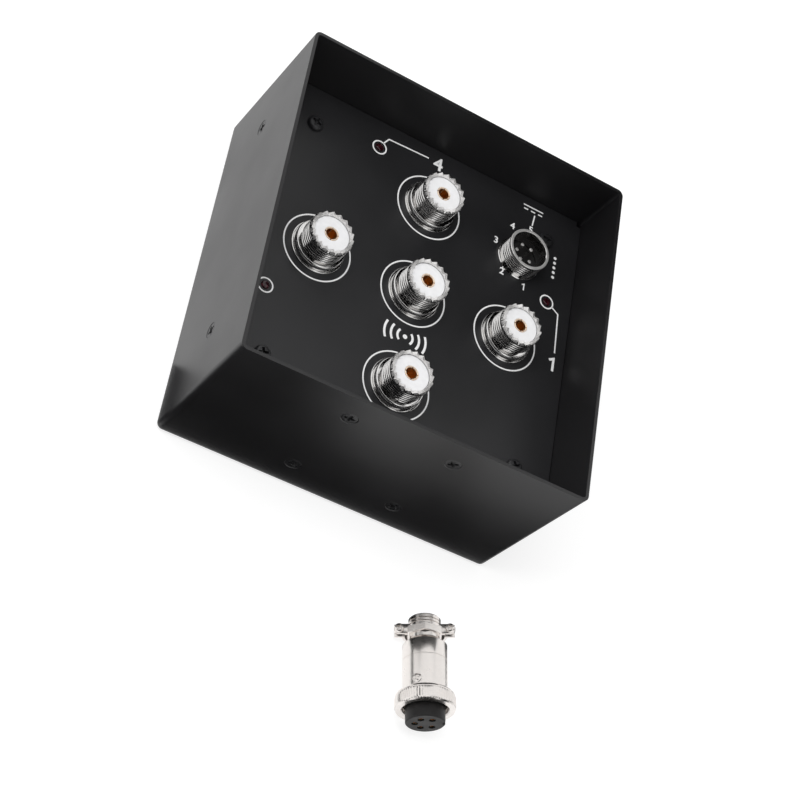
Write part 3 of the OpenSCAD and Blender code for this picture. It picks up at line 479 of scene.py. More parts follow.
def cut(obj, cutter):
    """Cuts one mesh out of another and removes the cutter."""
    tool = obj.modifiers.new("cut", "BOOLEAN")
    tool.operation = "DIFFERENCE"
    tool.solver = "EXACT"
    tool.object = cutter
    graph = bpy.context.evaluated_depsgraph_get()
    made = bpy.data.meshes.new_from_object(obj.evaluated_get(graph), depsgraph=graph)
    obj.modifiers.clear()
    bm = bmesh.new()
    bm.from_mesh(made)
    shade_soft(bm)
    bm.to_mesh(made)
    bm.free()
    obj.data = made
    bpy.data.objects.remove(cutter)


def painted_highlight_faces(bm, height, facing=0.5):
    """Marks the upward faces above a height, which get a piece's second finish: a lighter copy of its
    metal, a painted highlight on the faces that look up.
    """
    bmesh.ops.recalc_face_normals(bm, faces=bm.faces)
    for face in bm.faces:
        face.material_index = int(face.calc_center_median().z > height and face.normal.z > facing)


def hand_in(obj, body, finish_name, slot, *nodes, second=None):
    """Gives a piece its finishes, its body and the nodes that it stands for. Its slot argument is not
    used.
    """
    if obj.data.materials:
        obj.data.materials.clear()
    for name in (finish_name, second) if second else (finish_name,):
        obj.data.materials.append(finish(name))
    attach(obj, body)
    if nodes:
        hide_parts(*nodes)
    return obj


# ---- Finishes ----

def new_finish(name, base, metallic, roughness, **sockets):
    made = bpy.data.materials.new(name)
    made.use_nodes = True
    shader = made.node_tree.nodes["Principled BSDF"]
    shader.inputs["Base Color"].default_value = (*base, 1.0)
    shader.inputs["Metallic"].default_value = metallic
    shader.inputs["Roughness"].default_value = roughness
    for socket, value in sockets.items():
        shader.inputs[socket.replace("_", " ")].default_value = value
    return made, made.node_tree, shader


def noise(tree, scale, detail=2.0, stretch=(1, 1, 1)):
    """Noise on the object's own coordinates, in metres."""
    coords = tree.nodes.new("ShaderNodeTexCoord")
    mapping = tree.nodes.new("ShaderNodeMapping")
    mapping.inputs["Scale"].default_value = stretch
    texture = tree.nodes.new("ShaderNodeTexNoise")
    texture.inputs["Scale"].default_value = scale
    texture.inputs["Detail"].default_value = detail
    tree.links.new(coords.outputs["Object"], mapping.inputs["Vector"])
    tree.links.new(mapping.outputs["Vector"], texture.inputs["Vector"])
    return texture.outputs["Fac"]


def turning_marks(tree, scale):
    """Fine lines round a turned surface, read from the attribute that the lathe leaves."""
    source = tree.nodes.new("ShaderNodeAttribute")
    source.attribute_name = "ring"
    texture = tree.nodes.new("ShaderNodeTexNoise")
    texture.noise_dimensions = "1D"
    texture.inputs["Scale"].default_value = scale
    texture.inputs["Detail"].default_value = 3.0
    tree.links.new(source.outputs["Fac"], texture.inputs["W"])
    return texture.outputs["Fac"]


def spread(tree, factor, low, high):
    """Spreads a noise, most of which lies between 0.3 and 0.7, over a range of values."""
    node = tree.nodes.new("ShaderNodeMapRange")
    for socket, value in (("From Min", 0.3), ("From Max", 0.7), ("To Min", low), ("To Max", high)):
        node.inputs[socket].default_value = value
    tree.links.new(factor, node.inputs["Value"])
    return node.outputs["Result"]


def tint(tree, shader, factor, low, high):
    """Varies the base colour between two colours."""
    node = tree.nodes.new("ShaderNodeMix")
    node.data_type = "RGBA"
    node.inputs["A"].default_value = (*low, 1.0)
    node.inputs["B"].default_value = (*high, 1.0)
    tree.links.new(spread(tree, factor, 0.0, 1.0), node.inputs["Factor"])
    tree.links.new(node.outputs["Result"], shader.inputs["Base Color"])


def shade(base, factor):
    return tuple(min(1.0, c * factor) for c in base)


def relief(tree, shader, *layers):
    """Lays bumps on each other: (height, depth in metres)."""
    last = None
    for height, depth in layers:
        node = tree.nodes.new("ShaderNodeBump")
        node.inputs["Strength"].default_value = 1.0
        node.inputs["Distance"].default_value = depth
        tree.links.new(height, node.inputs["Height"])
        if last:
            tree.links.new(last.outputs["Normal"], node.inputs["Normal"])
        last = node
    tree.links.new(last.outputs["Normal"], shader.inputs["Normal"])


def powder_coat(name, base):
    """Satin powder coat: fine orange peel, and a faint unevenness of colour and gloss."""
    made, tree, shader = new_finish(name, base, 0.0, 0.40, IOR=1.6)
    clouds = noise(tree, 42, 3)
    tint(tree, shader, clouds, shade(base, 0.88), shade(base, 1.16))
    tree.links.new(spread(tree, clouds, 0.40, 0.45), shader.inputs["Roughness"])
    relief(tree, shader, (noise(tree, 900, 1), 0.008 * MM), (noise(tree, 3800, 2), 0.0022 * MM))
    return made


def ink_finish(name, base):
    made, tree, shader = new_finish(name, base, 0.0, 0.5)
    grain = noise(tree, 2600, 3)
    tint(tree, shader, grain, shade(base, 0.90), shade(base, 1.05))
    relief(tree, shader, (grain, 0.004 * MM))
    return made


def turned_metal(name, base, roughness, metallic=1.0):
    """Plated metal off a lathe: fine lines round it, faint smears and small pits."""
    made, tree, shader = new_finish(name, base, metallic, roughness)
    smears = noise(tree, 420, 4)
    lines = turning_marks(tree, 5200)
    tint(tree, shader, smears, shade(base, 0.96), shade(base, 1.03))
    tree.links.new(spread(tree, smears, roughness - 0.02, roughness + 0.04), shader.inputs["Roughness"])
    relief(tree, shader, (lines, 0.0016 * MM), (noise(tree, 2400, 2), 0.0007 * MM))
    return made


def sheet_metal(name, base, roughness):
    """Plain metal of the pieces inside: rolled grain and light stains."""
    made, tree, shader = new_finish(name, base, 1.0, roughness)
    stains = noise(tree, 700, 4)
    grain = noise(tree, 1400, 2, (1, 0.12, 1))
    tint(tree, shader, stains, shade(base, 0.84), shade(base, 1.06))
    tree.links.new(spread(tree, grain, roughness - 0.06, roughness + 0.12), shader.inputs["Roughness"])
    relief(tree, shader, (grain, 0.003 * MM))
    return made


def moulded(name, base, roughness, **sockets):
    """Moulded plastic: a slight mottle and a fine moulded grain."""
    made, tree, shader = new_finish(name, base, 0.0, roughness, **sockets)
    mottle = noise(tree, 300, 3)
    tint(tree, shader, mottle, shade(base, 0.92), shade(base, 1.06))
    tree.links.new(spread(tree, mottle, roughness - 0.05, roughness + 0.06), shader.inputs["Roughness"])
    relief(tree, shader, (noise(tree, 2200, 2), 0.004 * MM))
    return made


def polymer(name, base):
    """White fluoropolymer with faint turning marks."""
    made, tree, shader = new_finish(name, base, 0.0, 0.42)
    mottle = noise(tree, 500, 3)
    tint(tree, shader, mottle, shade(base, 0.96), shade(base, 1.02))
    relief(tree, shader, (turning_marks(tree, 3000), 0.0035 * MM))
    return made


def black_steel(name, base):
    made, tree, shader = new_finish(name, base, 0.0, 0.42, IOR=1.6)
    wear = noise(tree, 1500, 4)
    tint(tree, shader, wear, shade(base, 0.8), shade(base, 1.5))
    tree.links.new(spread(tree, wear, 0.34, 0.5), shader.inputs["Roughness"])
    relief(tree, shader, (wear, 0.004 * MM))
    return made


def tinted_lens(name, base):
    made, tree, shader = new_finish(name, base, 0.0, 0.06, Transmission_Weight=0.7, IOR=1.5)
    haze = noise(tree, 900, 2)
    tint(tree, shader, haze, shade(base, 0.85), shade(base, 1.15))
    tree.links.new(spread(tree, haze, 0.05, 0.14), shader.inputs["Roughness"])
    return made


def winding(name, base):
    """Enamelled wire: fine turns across the bobbin."""
    made, tree, shader = new_finish(name, base, 0.85, 0.3)
    turns = noise(tree, 900, 1, (0.02, 0.02, 1.6))
    tint(tree, shader, turns, shade(base, 0.6), shade(base, 1.15))
    relief(tree, shader, (turns, 0.05 * MM))
    return made


def board_resist(name, base):
    """Green solder resist over raised copper tracks."""
    made, tree, shader = new_finish(name, base, 0.0, 0.28, Coat_Weight=0.3)
    coords = tree.nodes.new("ShaderNodeTexCoord")
    tracks = tree.nodes.new("ShaderNodeTexBrick")
    tracks.inputs["Scale"].default_value = 90
    tracks.inputs["Mortar Size"].default_value = 0.06
    tree.links.new(coords.outputs["Object"], tracks.inputs["Vector"])
    tint(tree, shader, tracks.outputs["Fac"], base, shade(base, 1.9))
    relief(tree, shader, (tracks.outputs["Fac"], 0.03 * MM), (noise(tree, 1500, 2), 0.004 * MM))
    return made


def finish_makers():
    colours = bpy.context.scene.switch_finish
    return {
        "case_coat": lambda n: powder_coat(n, colours.coat),
        "panel_coat": lambda n: powder_coat(n, colours.panel_coat),
        "white_ink": lambda n: ink_finish(n, colours.ink),
        "nickel_plate": lambda n: turned_metal(n, colours.nickel, 0.11),
        # Lighter, rougher and less metallic nickel for faces that look up: the roughness is a satin
        # finish, the lighter colour a painted highlight.
        "satin_painted_highlight_nickel": lambda n: turned_metal(n, shade(colours.nickel, 1.15), 0.42, metallic=0.75),
        "washer_plate": lambda n: turned_metal(n, shade(colours.nickel, 1.06), 0.12),
        "plug_plate": lambda n: turned_metal(n, colours.warm_nickel, 0.24),
        "fluoropolymer": lambda n: polymer(n, colours.polymer),
        "gold_flash": lambda n: turned_metal(n, colours.gold, 0.34),
        # Paler, rougher and less metallic gold for the contacts' mouths: a painted highlight.
        "gold_painted_highlight": lambda n: turned_metal(n, colours.gold_painted_highlight, 0.5, metallic=0.4),
        "black_phenolic": lambda n: moulded(n, colours.phenolic, 0.5, IOR=1.4),
        "red_lens": lambda n: tinted_lens(n, colours.lens),
        "black_steel": lambda n: black_steel(n, colours.black_steel),
        "zinc_plate": lambda n: sheet_metal(n, (0.66, 0.67, 0.69), 0.28),
        "tinned_brass": lambda n: sheet_metal(n, (0.78, 0.75, 0.66), 0.26),
        "plain_brass": lambda n: sheet_metal(n, (0.78, 0.57, 0.22), 0.24),
        "bare_copper": lambda n: sheet_metal(n, (0.80, 0.44, 0.26), 0.3),
        "relay_iron": lambda n: sheet_metal(n, (0.52, 0.53, 0.55), 0.34),
        "coil_winding": lambda n: winding(n, (0.62, 0.27, 0.09)),
        "relay_cover": lambda n: moulded(n, (0.03, 0.14, 0.33), 0.22),
        "relay_base": lambda n: moulded(n, (0.03, 0.032, 0.036), 0.5),
        "diode_glass": lambda n: moulded(n, (0.03, 0.03, 0.032), 0.18),
        "wire_sleeve": lambda n: moulded(n, (0.45, 0.03, 0.02), 0.35),
        "solder_resist": lambda n: board_resist(n, (0.03, 0.17, 0.07)),
    }


def finish(name):
    """The finish of that name, made when it is first asked for."""
    return bpy.data.materials.get(name) or finish_makers()[name](name)


# ---- Case ----

def wall_screw_places(s):
    """Places of the side screws and of the bracket screws, with +Z out of the wall."""
    low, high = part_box("case_shell")
    side_z = panel_face() - s.side_screw_drop
    sides = [Matrix.Translation((x, y * s.side_screw_y, side_z)) @ Matrix.Rotation(turn, 4, "Y")
             for x, turn in ((low.x, -FULL_TURN / 4), (high.x, FULL_TURN / 4)) for y in (-1, 1)]
    bracket = [Matrix.Translation((x * s.bracket_width / 2, low.y, s.bracket_low + z))
               @ Matrix.Rotation(FULL_TURN / 4, 4, "X")
               for x in (-1, 1) for z in (0.0, s.bracket_length)]
    return sides, bracket


class SWITCH_OT_case(bpy.types.Operator):
    """Fold the coated sheet case, with its bends, rounded rim and countersunk holes"""
    bl_idname = "antenna_switch.case"
    bl_label = "Case"

    def execute(self, context):
        s = context.scene.switch_case
        low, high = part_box("case_shell")
        bm = bmesh.new()
        block = bmesh.ops.create_cube(bm, size=1.0)["verts"]
        bmesh.ops.scale(bm, vec=high - low, verts=block)
        bmesh.ops.translate(bm, vec=(low + high) / 2, verts=block)
        rim = [e for e in bm.edges if all(v.co.z > high.z - MM for v in e.verts)]
        bends = [e for e in bm.edges if e not in rim]
        bmesh.ops.bevel(bm, geom=bends, offset=s.bend_radius, segments=8, profile=0.5,
                        affect="EDGES", material=-1)
        top = [f for f in bm.faces if f.normal.z > 0.9 and f.calc_center_median().z > high.z - MM]
        bmesh.ops.delete(bm, geom=top, context="FACES")
        bmesh.ops.recalc_face_normals(bm, faces=bm.faces)
        if sum(f.normal.z * f.calc_area() for f in bm.faces) > 0:
            bmesh.ops.reverse_faces(bm, faces=bm.faces)
        bmesh.ops.solidify(bm, geom=list(bm.faces), thickness=s.sheet)
        shell = as_object("folded_case", bm)
        cut(shell, self.holes(s))
        edges = shell.modifiers.new("coated_edges", "BEVEL")
        edges.width = s.rim_round
        edges.segments = 3
        edges.limit_method = "ANGLE"
        edges.angle_limit = math.radians(38)
        edges.harden_normals = True
        hand_in(shell, CASE_BODY, "case_coat", "case_powder_coat", "case_shell")
        panel = frame["nodes"]["socket_panel"]
        panel.data.materials.clear()
        panel.data.materials.append(finish("panel_coat"))
        return {"FINISHED"}

    @staticmethod
    def holes(s):
        """Cutters of the countersunk holes, a little wider than the screws."""
        gap = 0.1 * MM
        head, shank = s.sunk_head_radius + gap, s.screw_radius + gap
        outside, inside = 2 * MM, -4 * MM
        bm = bmesh.new()
        for place in sum(wall_screw_places(s), []):
            lathe(bm, [(0, outside), (head, outside), (head, 0), (shank, -s.sunk_depth),
                       (shank, inside), (0, inside)], 40, place)
        return as_object("case_holes", bm)


class SWITCH_OT_screws(bpy.types.Operator):
    """Turn the cross-recessed screws of the panel, the sides and the mast bracket"""
    bl_idname = "antenna_switch.screws"
    bl_label = "Screws"

    def execute(self, context):
        s = context.scene.switch_case
        sides, bracket = wall_screw_places(s)
        below_wall = Matrix.Translation((0, 0, -0.12 * MM))
        for name, places, node, tail in (("side_screw_set", sides, "side_screws", 6.6 * MM),
                                         ("bracket_screw_set", bracket, "bracket_screws", 4.9 * MM)):
            bm = bmesh.new()
            for index, place in enumerate(places):
                screw(bm, s.sunk_head_radius, 0.0, s.screw_radius, tail, place @ below_wall,
                      sunk=s.sunk_depth, dome=0.9, turn=0.5 + 1.1 * index)
            hand_in(as_object(name, bm), CASE_BODY, "black_steel", "blackened_screw", node)
        bm = bmesh.new()
        panel_tail = 6.5 * MM
        for index, (x, y) in enumerate((x, y) for x in (-1, 1) for y in (-1, 1)):
            spot = Vector((x * s.corner_place, y * s.corner_place, panel_face()))
            screw(bm, s.pan_head_radius, s.pan_head_height, s.screw_radius, panel_tail,
                  Matrix.Translation(spot), turn=0.3 + 0.9 * index)
        hand_in(as_object("panel_screw_set", bm), CASE_BODY, "black_steel", "blackened_screw",
                "panel_screws")
        return {"FINISHED"}


# ---- Sockets ----

def socket_shell(bm, s, place):
    """Threaded shell with a seating flange and a toothed rim."""
    root = s.thread_radius - s.thread_depth
    bore = s.insulator_radius + 0.05 * MM
    rear = s.insulator_rear_radius + 0.05 * MM
    flange = s.washer_height + s.flange_height
    valley = s.rim_height - s.tooth_depth
    band = valley - 0.75 * MM
    verts = lathe(bm, [
        (rear, -s.shank_length), (root, -s.shank_length), (root, s.washer_height)]
        + corner(s.flange_radius, s.washer_height, 0.3 * MM, -90, 0)
        + corner(s.flange_radius, flange, 0.55 * MM, 0, 90) + [
        (root + 0.15 * MM, flange), (root - 0.1 * MM, flange + 0.12 * MM), (root, flange + 0.35 * MM),
        (root, band - 0.3 * MM), (s.thread_radius - 0.12 * MM, band - 0.1 * MM),
        (s.thread_radius, band + 0.05 * MM), (s.thread_radius, valley - 0.1 * MM),
        (s.thread_radius - s.crown_taper, s.rim_height), (bore, s.rim_height), (bore, valley - 0.1 * MM),
        (bore, 2 * MM), (rear, 2 * MM)], s.tooth_count * 4)
    pitch = FULL_TURN / s.tooth_count
    crown = [v for v in verts if v.co.z > s.rim_height - 0.01 * MM]
    for v in crown:
        away = (math.atan2(v.co.y, v.co.x) / pitch) % 1 - 0.5
        along = abs(away) * pitch * math.hypot(v.co.x, v.co.y)
        v.co.z = min(s.rim_height, valley + along)
    soften(bm, crown, 0.07 * MM, limit=35)
    thread_ridge(bm, s.thread_radius, root, s.thread_pitch, flange + 0.72 * MM, 5.3)
    bmesh.ops.transform(bm, matrix=place, verts=list(bm.verts))
    # The teeth's tops and upper flanks get the lighter nickel: a painted highlight.
    painted_highlight_faces(bm, panel_face() + valley + 0.3 * MM, 0.2)


def centre_contact(bm, s, place):
    """Gold tube, slotted into four springy fingers at its mouth."""
    top = s.rim_height - s.insulator_sink + 0.2 * MM
    bottom = top - 0.2 * MM - s.contact_depth
    slot_end = top - 4 * MM
    half_slot = math.asin(0.16 * MM / s.contact_bore)
    finger = [(s.contact_bore, slot_end), (s.contact_radius, slot_end),
              (s.contact_radius, top - 0.22 * MM), (s.contact_radius - 0.22 * MM, top),
              (s.contact_bore + 0.28 * MM, top), (s.contact_bore, top - 0.34 * MM)]
    for quarter in range(4):
        turn = Matrix.Rotation(FULL_TURN / 4 * quarter + half_slot, 4, "Z")
        lathe(bm, finger, 20, place @ turn, FULL_TURN / 4 - 2 * half_slot)
    lathe(bm, [(0, bottom), (s.contact_bore, bottom), (s.contact_bore, slot_end),
               (s.contact_radius, slot_end), (s.contact_radius, bottom - MM), (0, bottom - MM)],
          64, place)
    # The fingers' upward mouths get the paler gold: a painted highlight.
    painted_highlight_faces(bm, panel_face() + top - 0.2 * MM)


class SWITCH_OT_sockets(bpy.types.Operator):
    """Turn the five coaxial sockets, with toothed rims, insulators and slotted contacts"""
    bl_idname = "antenna_switch.sockets"
    bl_label = "Coaxial Sockets"

    def execute(self, context):
        s = context.scene.switch_socket
        face = s.rim_height - s.insulator_sink
        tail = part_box("common_insulator")[0].z - panel_face()
        for name in SOCKETS:
            place = socket_place(name)
            bm = bmesh.new()
            socket_shell(bm, s, place)
            hand_in(as_object(name + "_shell", bm), CASE_BODY, "nickel_plate", "socket_nickel",
                    name + "_body", second="satin_painted_highlight_nickel")
            bm = bmesh.new()
            hole = s.contact_radius + 0.05 * MM
            lathe(bm, [(hole, tail), (s.insulator_rear_radius, tail), (s.insulator_rear_radius, 2 * MM),
                       (s.insulator_radius, 2 * MM), (s.insulator_radius, face - 0.15 * MM),
                       (s.insulator_radius - 0.15 * MM, face), (hole + 0.12 * MM, face),
                       (hole, face - 0.12 * MM)], 80, place)
            hand_in(as_object(name + "_dielectric", bm), CASE_BODY, "fluoropolymer",
                    "white_insulator", name + "_insulator")
            bm = bmesh.new()
            centre_contact(bm, s, place)
            hand_in(as_object(name + "_centre", bm), CASE_BODY, "gold_flash", "contact_gold",
                    name + "_contact", second="gold_painted_highlight")
        bm = bmesh.new()
        inner = s.thread_radius + 0.05 * MM
        for name in SOCKETS:
            lathe(bm, [(inner, 0), (s.washer_radius, 0)]
                  + corner(s.washer_radius, s.washer_height, 0.25 * MM, 0, 90)
                  + [(inner, s.washer_height)], 96, socket_place(name))
        hand_in(as_object("washer_set", bm), CASE_BODY, "washer_plate", "socket_nickel",
                "socket_washers")
        return {"FINISHED"}


class SWITCH_OT_control_socket(bpy.types.Operator):
    """Turn the five-pole control socket, with its keyed shell, insert and pins"""
    bl_idname = "antenna_switch.control_socket"
    bl_label = "Control Socket"

    def execute(self, context):
        s = context.scene.switch_control
        place = on_panel("control_body")
        root = s.thread_radius - s.thread_depth
        key_radius = 1.0 * MM
        bm = bmesh.new()
        lathe(bm, [
            (s.bore_radius, -s.shank_length), (root, -s.shank_length), (root, 0),
            (s.flange_radius, 0), (s.flange_radius, s.flange_height - 0.25 * MM),
            (s.flange_radius - 0.25 * MM, s.flange_height), (root, s.flange_height),
            (root, s.height - 0.95 * MM), (s.thread_radius, s.height - 0.65 * MM),
            (s.thread_radius, s.height - 0.2 * MM), (s.thread_radius - 0.2 * MM, s.height),
            (s.bore_radius + 0.12 * MM, s.height), (s.bore_radius, s.height - 0.12 * MM)], 96)
        thread_ridge(bm, s.thread_radius, root, s.thread_pitch, s.flange_height + 0.65 * MM, 5.0)
        key_length = s.height - s.insert_height - 0.5 * MM
        key_middle = (s.height + s.insert_height) / 2 - 0.05 * MM
        key = bmesh.ops.create_cone(bm, cap_ends=True, segments=32, radius1=key_radius,
                                    radius2=key_radius, depth=key_length)["verts"]
        bmesh.ops.translate(bm, verts=key, vec=(s.bore_radius + 0.1 * MM, 0, key_middle))
        bmesh.ops.transform(bm, matrix=place, verts=list(bm.verts))
        # The rim's top gets the lighter nickel: a painted highlight.
        painted_highlight_faces(bm, panel_face() + s.height - 0.15 * MM)
        hand_in(as_object("control_shell", bm), CASE_BODY, "nickel_plate", "socket_nickel",
                "control_body", second="satin_painted_highlight_nickel")
        bm = bmesh.new()
        edge = s.bore_radius - 0.05 * MM
        lathe(bm, [(0, 0.5 * MM - s.shank_length), (edge, 0.5 * MM - s.shank_length),
                   (edge, s.insert_height - 0.2 * MM), (edge - 0.2 * MM, s.insert_height),
                   (0, s.insert_height)], 72, place)
        hand_in(as_object("control_block", bm), CASE_BODY, "black_phenolic", "black_insert",
                "control_insert")
        bm = bmesh.new()
        tip = s.height - s.pin_sink
        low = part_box("control_pins")[0].z - panel_face()
        hollow = s.pin_radius * 0.45
        for degrees in PIN_TURNS:
            spot = place @ Matrix.Rotation(math.radians(degrees), 4, "Z") @ Matrix.Translation(
                (s.pin_circle, 0, 0))
            lathe(bm, [(0, low), (s.pin_radius, low), (s.pin_radius, tip - 0.45 * MM),
                       (s.pin_radius * 0.86, tip - 0.16 * MM), (s.pin_radius * 0.62, tip),
                       (hollow, tip), (hollow * 0.8, tip - 0.3 * MM), (0, tip - 0.4 * MM)], 28, spot)
        # The pins' tips get the lighter nickel: a painted highlight.
        painted_highlight_faces(bm, panel_face() + tip - 0.5 * MM)
        hand_in(as_object("control_pin_set", bm), CASE_BODY, "nickel_plate", "tinned_brass",
                "control_pins", second="satin_painted_highlight_nickel")
        return {"FINISHED"}


# ---- Lamps and print ----

def lamp_place(s, port):
    return (port_turn(port) @ Matrix.Translation((s.lamp_out, s.lamp_side, 0))
            ).to_translation() + Vector((0, 0, panel_face()))


class SWITCH_OT_lamps(bpy.types.Operator):
    """Set the four tinted lamps in the panel, each over its two inner posts"""
    bl_idname = "antenna_switch.lamps"
    bl_label = "Signal Lamps"

    def execute(self, context):
        s = context.scene.switch_print
        legs_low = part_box("signal_lamps")[0].z - panel_face()
        lens, posts = bmesh.new(), bmesh.new()
        skirt, lens_low = 0.12 * MM, -2.4 * MM
        post, anvil, post_top, post_side = 0.25 * MM, 0.42 * MM, -0.7 * MM, 0.62 * MM
        dome = [(s.lamp_radius * math.cos(a), skirt + (s.lamp_rise - skirt) * math.sin(a))
                for a in (FULL_TURN / 4 * i / 8 for i in range(9))]
        for port in PORTS:
            place = Matrix.Translation(lamp_place(s, port)) @ port_turn(port)
            lathe(lens, [(0, lens_low), (s.lamp_radius, lens_low)] + dome[:-1] + [(0, s.lamp_rise)],
                  40, place)
            for side in (-1, 1):
                lathe(posts, [(0, legs_low), (post, legs_low), (post, post_top - 0.7 * MM),
                              (anvil, post_top - 0.4 * MM), (anvil, post_top), (0, post_top)],
                      12, place @ Matrix.Translation((side * post_side, 0, 0)))
        hand_in(as_object("lamp_lens_set", lens), CASE_BODY, "red_lens", "lamp_red", "signal_lamps")
        hand_in(as_object("lamp_post_set", posts), CASE_BODY, "tinned_brass", "tinned_brass")
        return {"FINISHED"}


def number(bm, text, height, spot, thickness):
    """Lays a printed number with its middle on a spot of the panel."""
    if text == "1":
        stroke = height * 0.17
        flag = [(-0.26, 0.24), (0.06, 0.42), (0.06, -0.5)]
        ribbon(bm, [(spot.x + x * height, spot.y + y * height) for x, y in flag], stroke,
               spot.z, spot.z + thickness)
        return
    curve = bpy.data.curves.new("number", "FONT")
    curve.body = text
    curve.size = height * 1.4
    curve.offset = height * 0.028
    curve.resolution_u = 6
    holder = bpy.data.objects.new("number", curve)
    bpy.context.scene.collection.objects.link(holder)
    graph = bpy.context.evaluated_depsgraph_get()
    flat = bpy.data.meshes.new_from_object(holder.evaluated_get(graph), depsgraph=graph)
    before, old_faces = set(bm.verts), set(bm.faces)
    bm.from_mesh(flat)
    bpy.data.objects.remove(holder)
    bpy.data.meshes.remove(flat)
    fresh = added(bm, before)
    bmesh.ops.remove_doubles(bm, verts=fresh, dist=1e-7)
    faces = [f for f in bm.faces if f not in old_faces]
    raised = bmesh.ops.extrude_face_region(bm, geom=faces, use_keep_orig=True)["geom"]
    bmesh.ops.translate(bm, vec=(0, 0, thickness), verts=points_in(raised))
    fresh = added(bm, before)
    xs, ys = [v.co.x for v in fresh], [v.co.y for v in fresh]
    scale = height / (max(ys) - min(ys))
    middle = Vector(((min(xs) + max(xs)) / 2, (min(ys) + max(ys)) / 2, 0))
    bmesh.ops.translate(bm, vec=-middle, verts=fresh)
    bmesh.ops.scale(bm, vec=(scale, scale, 1), verts=fresh)
    bmesh.ops.translate(bm, vec=spot, verts=fresh)


def spot_on_panel(x, y):
    return Vector((x * MM, y * MM, panel_face()))


def printed_ring(bm, radius, width, thickness, place, steps):
    lathe(bm, [(radius - width / 2, 0), (radius + width / 2, 0), (radius + width / 2, thickness),
               (radius - width / 2, thickness)], steps, place)


class SWITCH_OT_print(bpy.types.Operator):
    """Print the white circles, leader lines, numbers and plain symbols on the panel"""
    bl_idname = "antenna_switch.screen_print"
    bl_label = "Screen Print"

    def execute(self, context):
        s = context.scene.switch_print
        face = panel_face()
        circles = bmesh.new()
        for name in SOCKETS:
            printed_ring(circles, s.circle_radius, s.stroke, s.ink, on_panel(name + "_body"), 128)
        for port in PORTS:
            printed_ring(circles, s.lamp_ring, s.stroke, s.ink,
                         Matrix.Translation(lamp_place(s, port)), 64)
        hand_in(as_object("printed_circles", circles), CASE_BODY, "white_ink", None)
        lines = bmesh.new()
        leader = [(x * MM, y * MM) for x, y in ((53.9, 21.4), (56.7, 19.6), (57.4, 3.4))]
        for port in PORTS:
            ribbon(lines, leader, s.stroke, face, face + s.ink, port_turn(port))
        ribbon(lines, [(41.9 * MM, 56.0 * MM), (41.4 * MM, 51.2 * MM)], s.stroke, face, face + s.ink)
        self.direct_current_mark(lines, s, face)
        self.wave_mark(lines, s, face)
        self.pole_mark(lines, s, face)
        hand_in(as_object("printed_lines", lines), CASE_BODY, "white_ink", None)
        numbers = bmesh.new()
        ports = {"1": (57.0, -1.4), "2": (-1.4, -57.0), "3": (-57.0, 1.4), "4": (0.6, 56.9)}
        pins = {"1": (41.4, 24.0), "2": (32.0, 26.2), "3": (27.9, 37.8), "4": (33.6, 47.1),
                "5": (41.1, 49.2)}
        for text, spot in ports.items():
            number(numbers, text, s.port_digit, spot_on_panel(*spot), s.ink)
        for text, spot in pins.items():
            number(numbers, text, s.pin_digit, spot_on_panel(*spot), s.ink)
        hand_in(as_object("printed_numbers", numbers), CASE_BODY, "white_ink", None)
        return {"FINISHED"}

    @staticmethod
    def direct_current_mark(bm, s, face):
        """The usual sign for direct current: a bar over three dashes."""
        x, y, half = 41.0 * MM, 58.0 * MM, 4.2 * MM
        ribbon(bm, [(x - half, y + 0.8 * MM), (x + half, y + 0.8 * MM)], s.stroke, face, face + s.ink)
        for side in (-1, 0, 1):
            mid = x + side * half * 0.72
            ribbon(bm, [(mid - 0.9 * MM, y - 0.8 * MM), (mid + 0.9 * MM, y - 0.8 * MM)], s.stroke,
                   face, face + s.ink)

    @staticmethod
    def wave_mark(bm, s, face):
        """A plain sign for waves in the air: a dot between rising arcs."""
        x, y = 0.0, -17.6 * MM
        prism(bm, arc(x, y, 0.85 * MM, 0, 337.5, 15), face, face + s.ink)
        for radius, spread_angle in ((2.9 * MM, 44), (5.4 * MM, 33), (7.9 * MM, 25)):
            for turn in (0, 180):
                ribbon(bm, arc(x, y, radius, turn - spread_angle, turn + spread_angle, 14), 0.85 * MM,
                       face, face + s.ink)

    @staticmethod
    def pole_mark(bm, s, face):
        """A row of five dots for the five poles."""
        for step in range(5):
            prism(bm, arc(52.6 * MM, (33.9 + 2.1 * step) * MM, 0.62 * MM, 0, 337.5, 15), face,
                  face + s.ink)


# ---- Plug ----

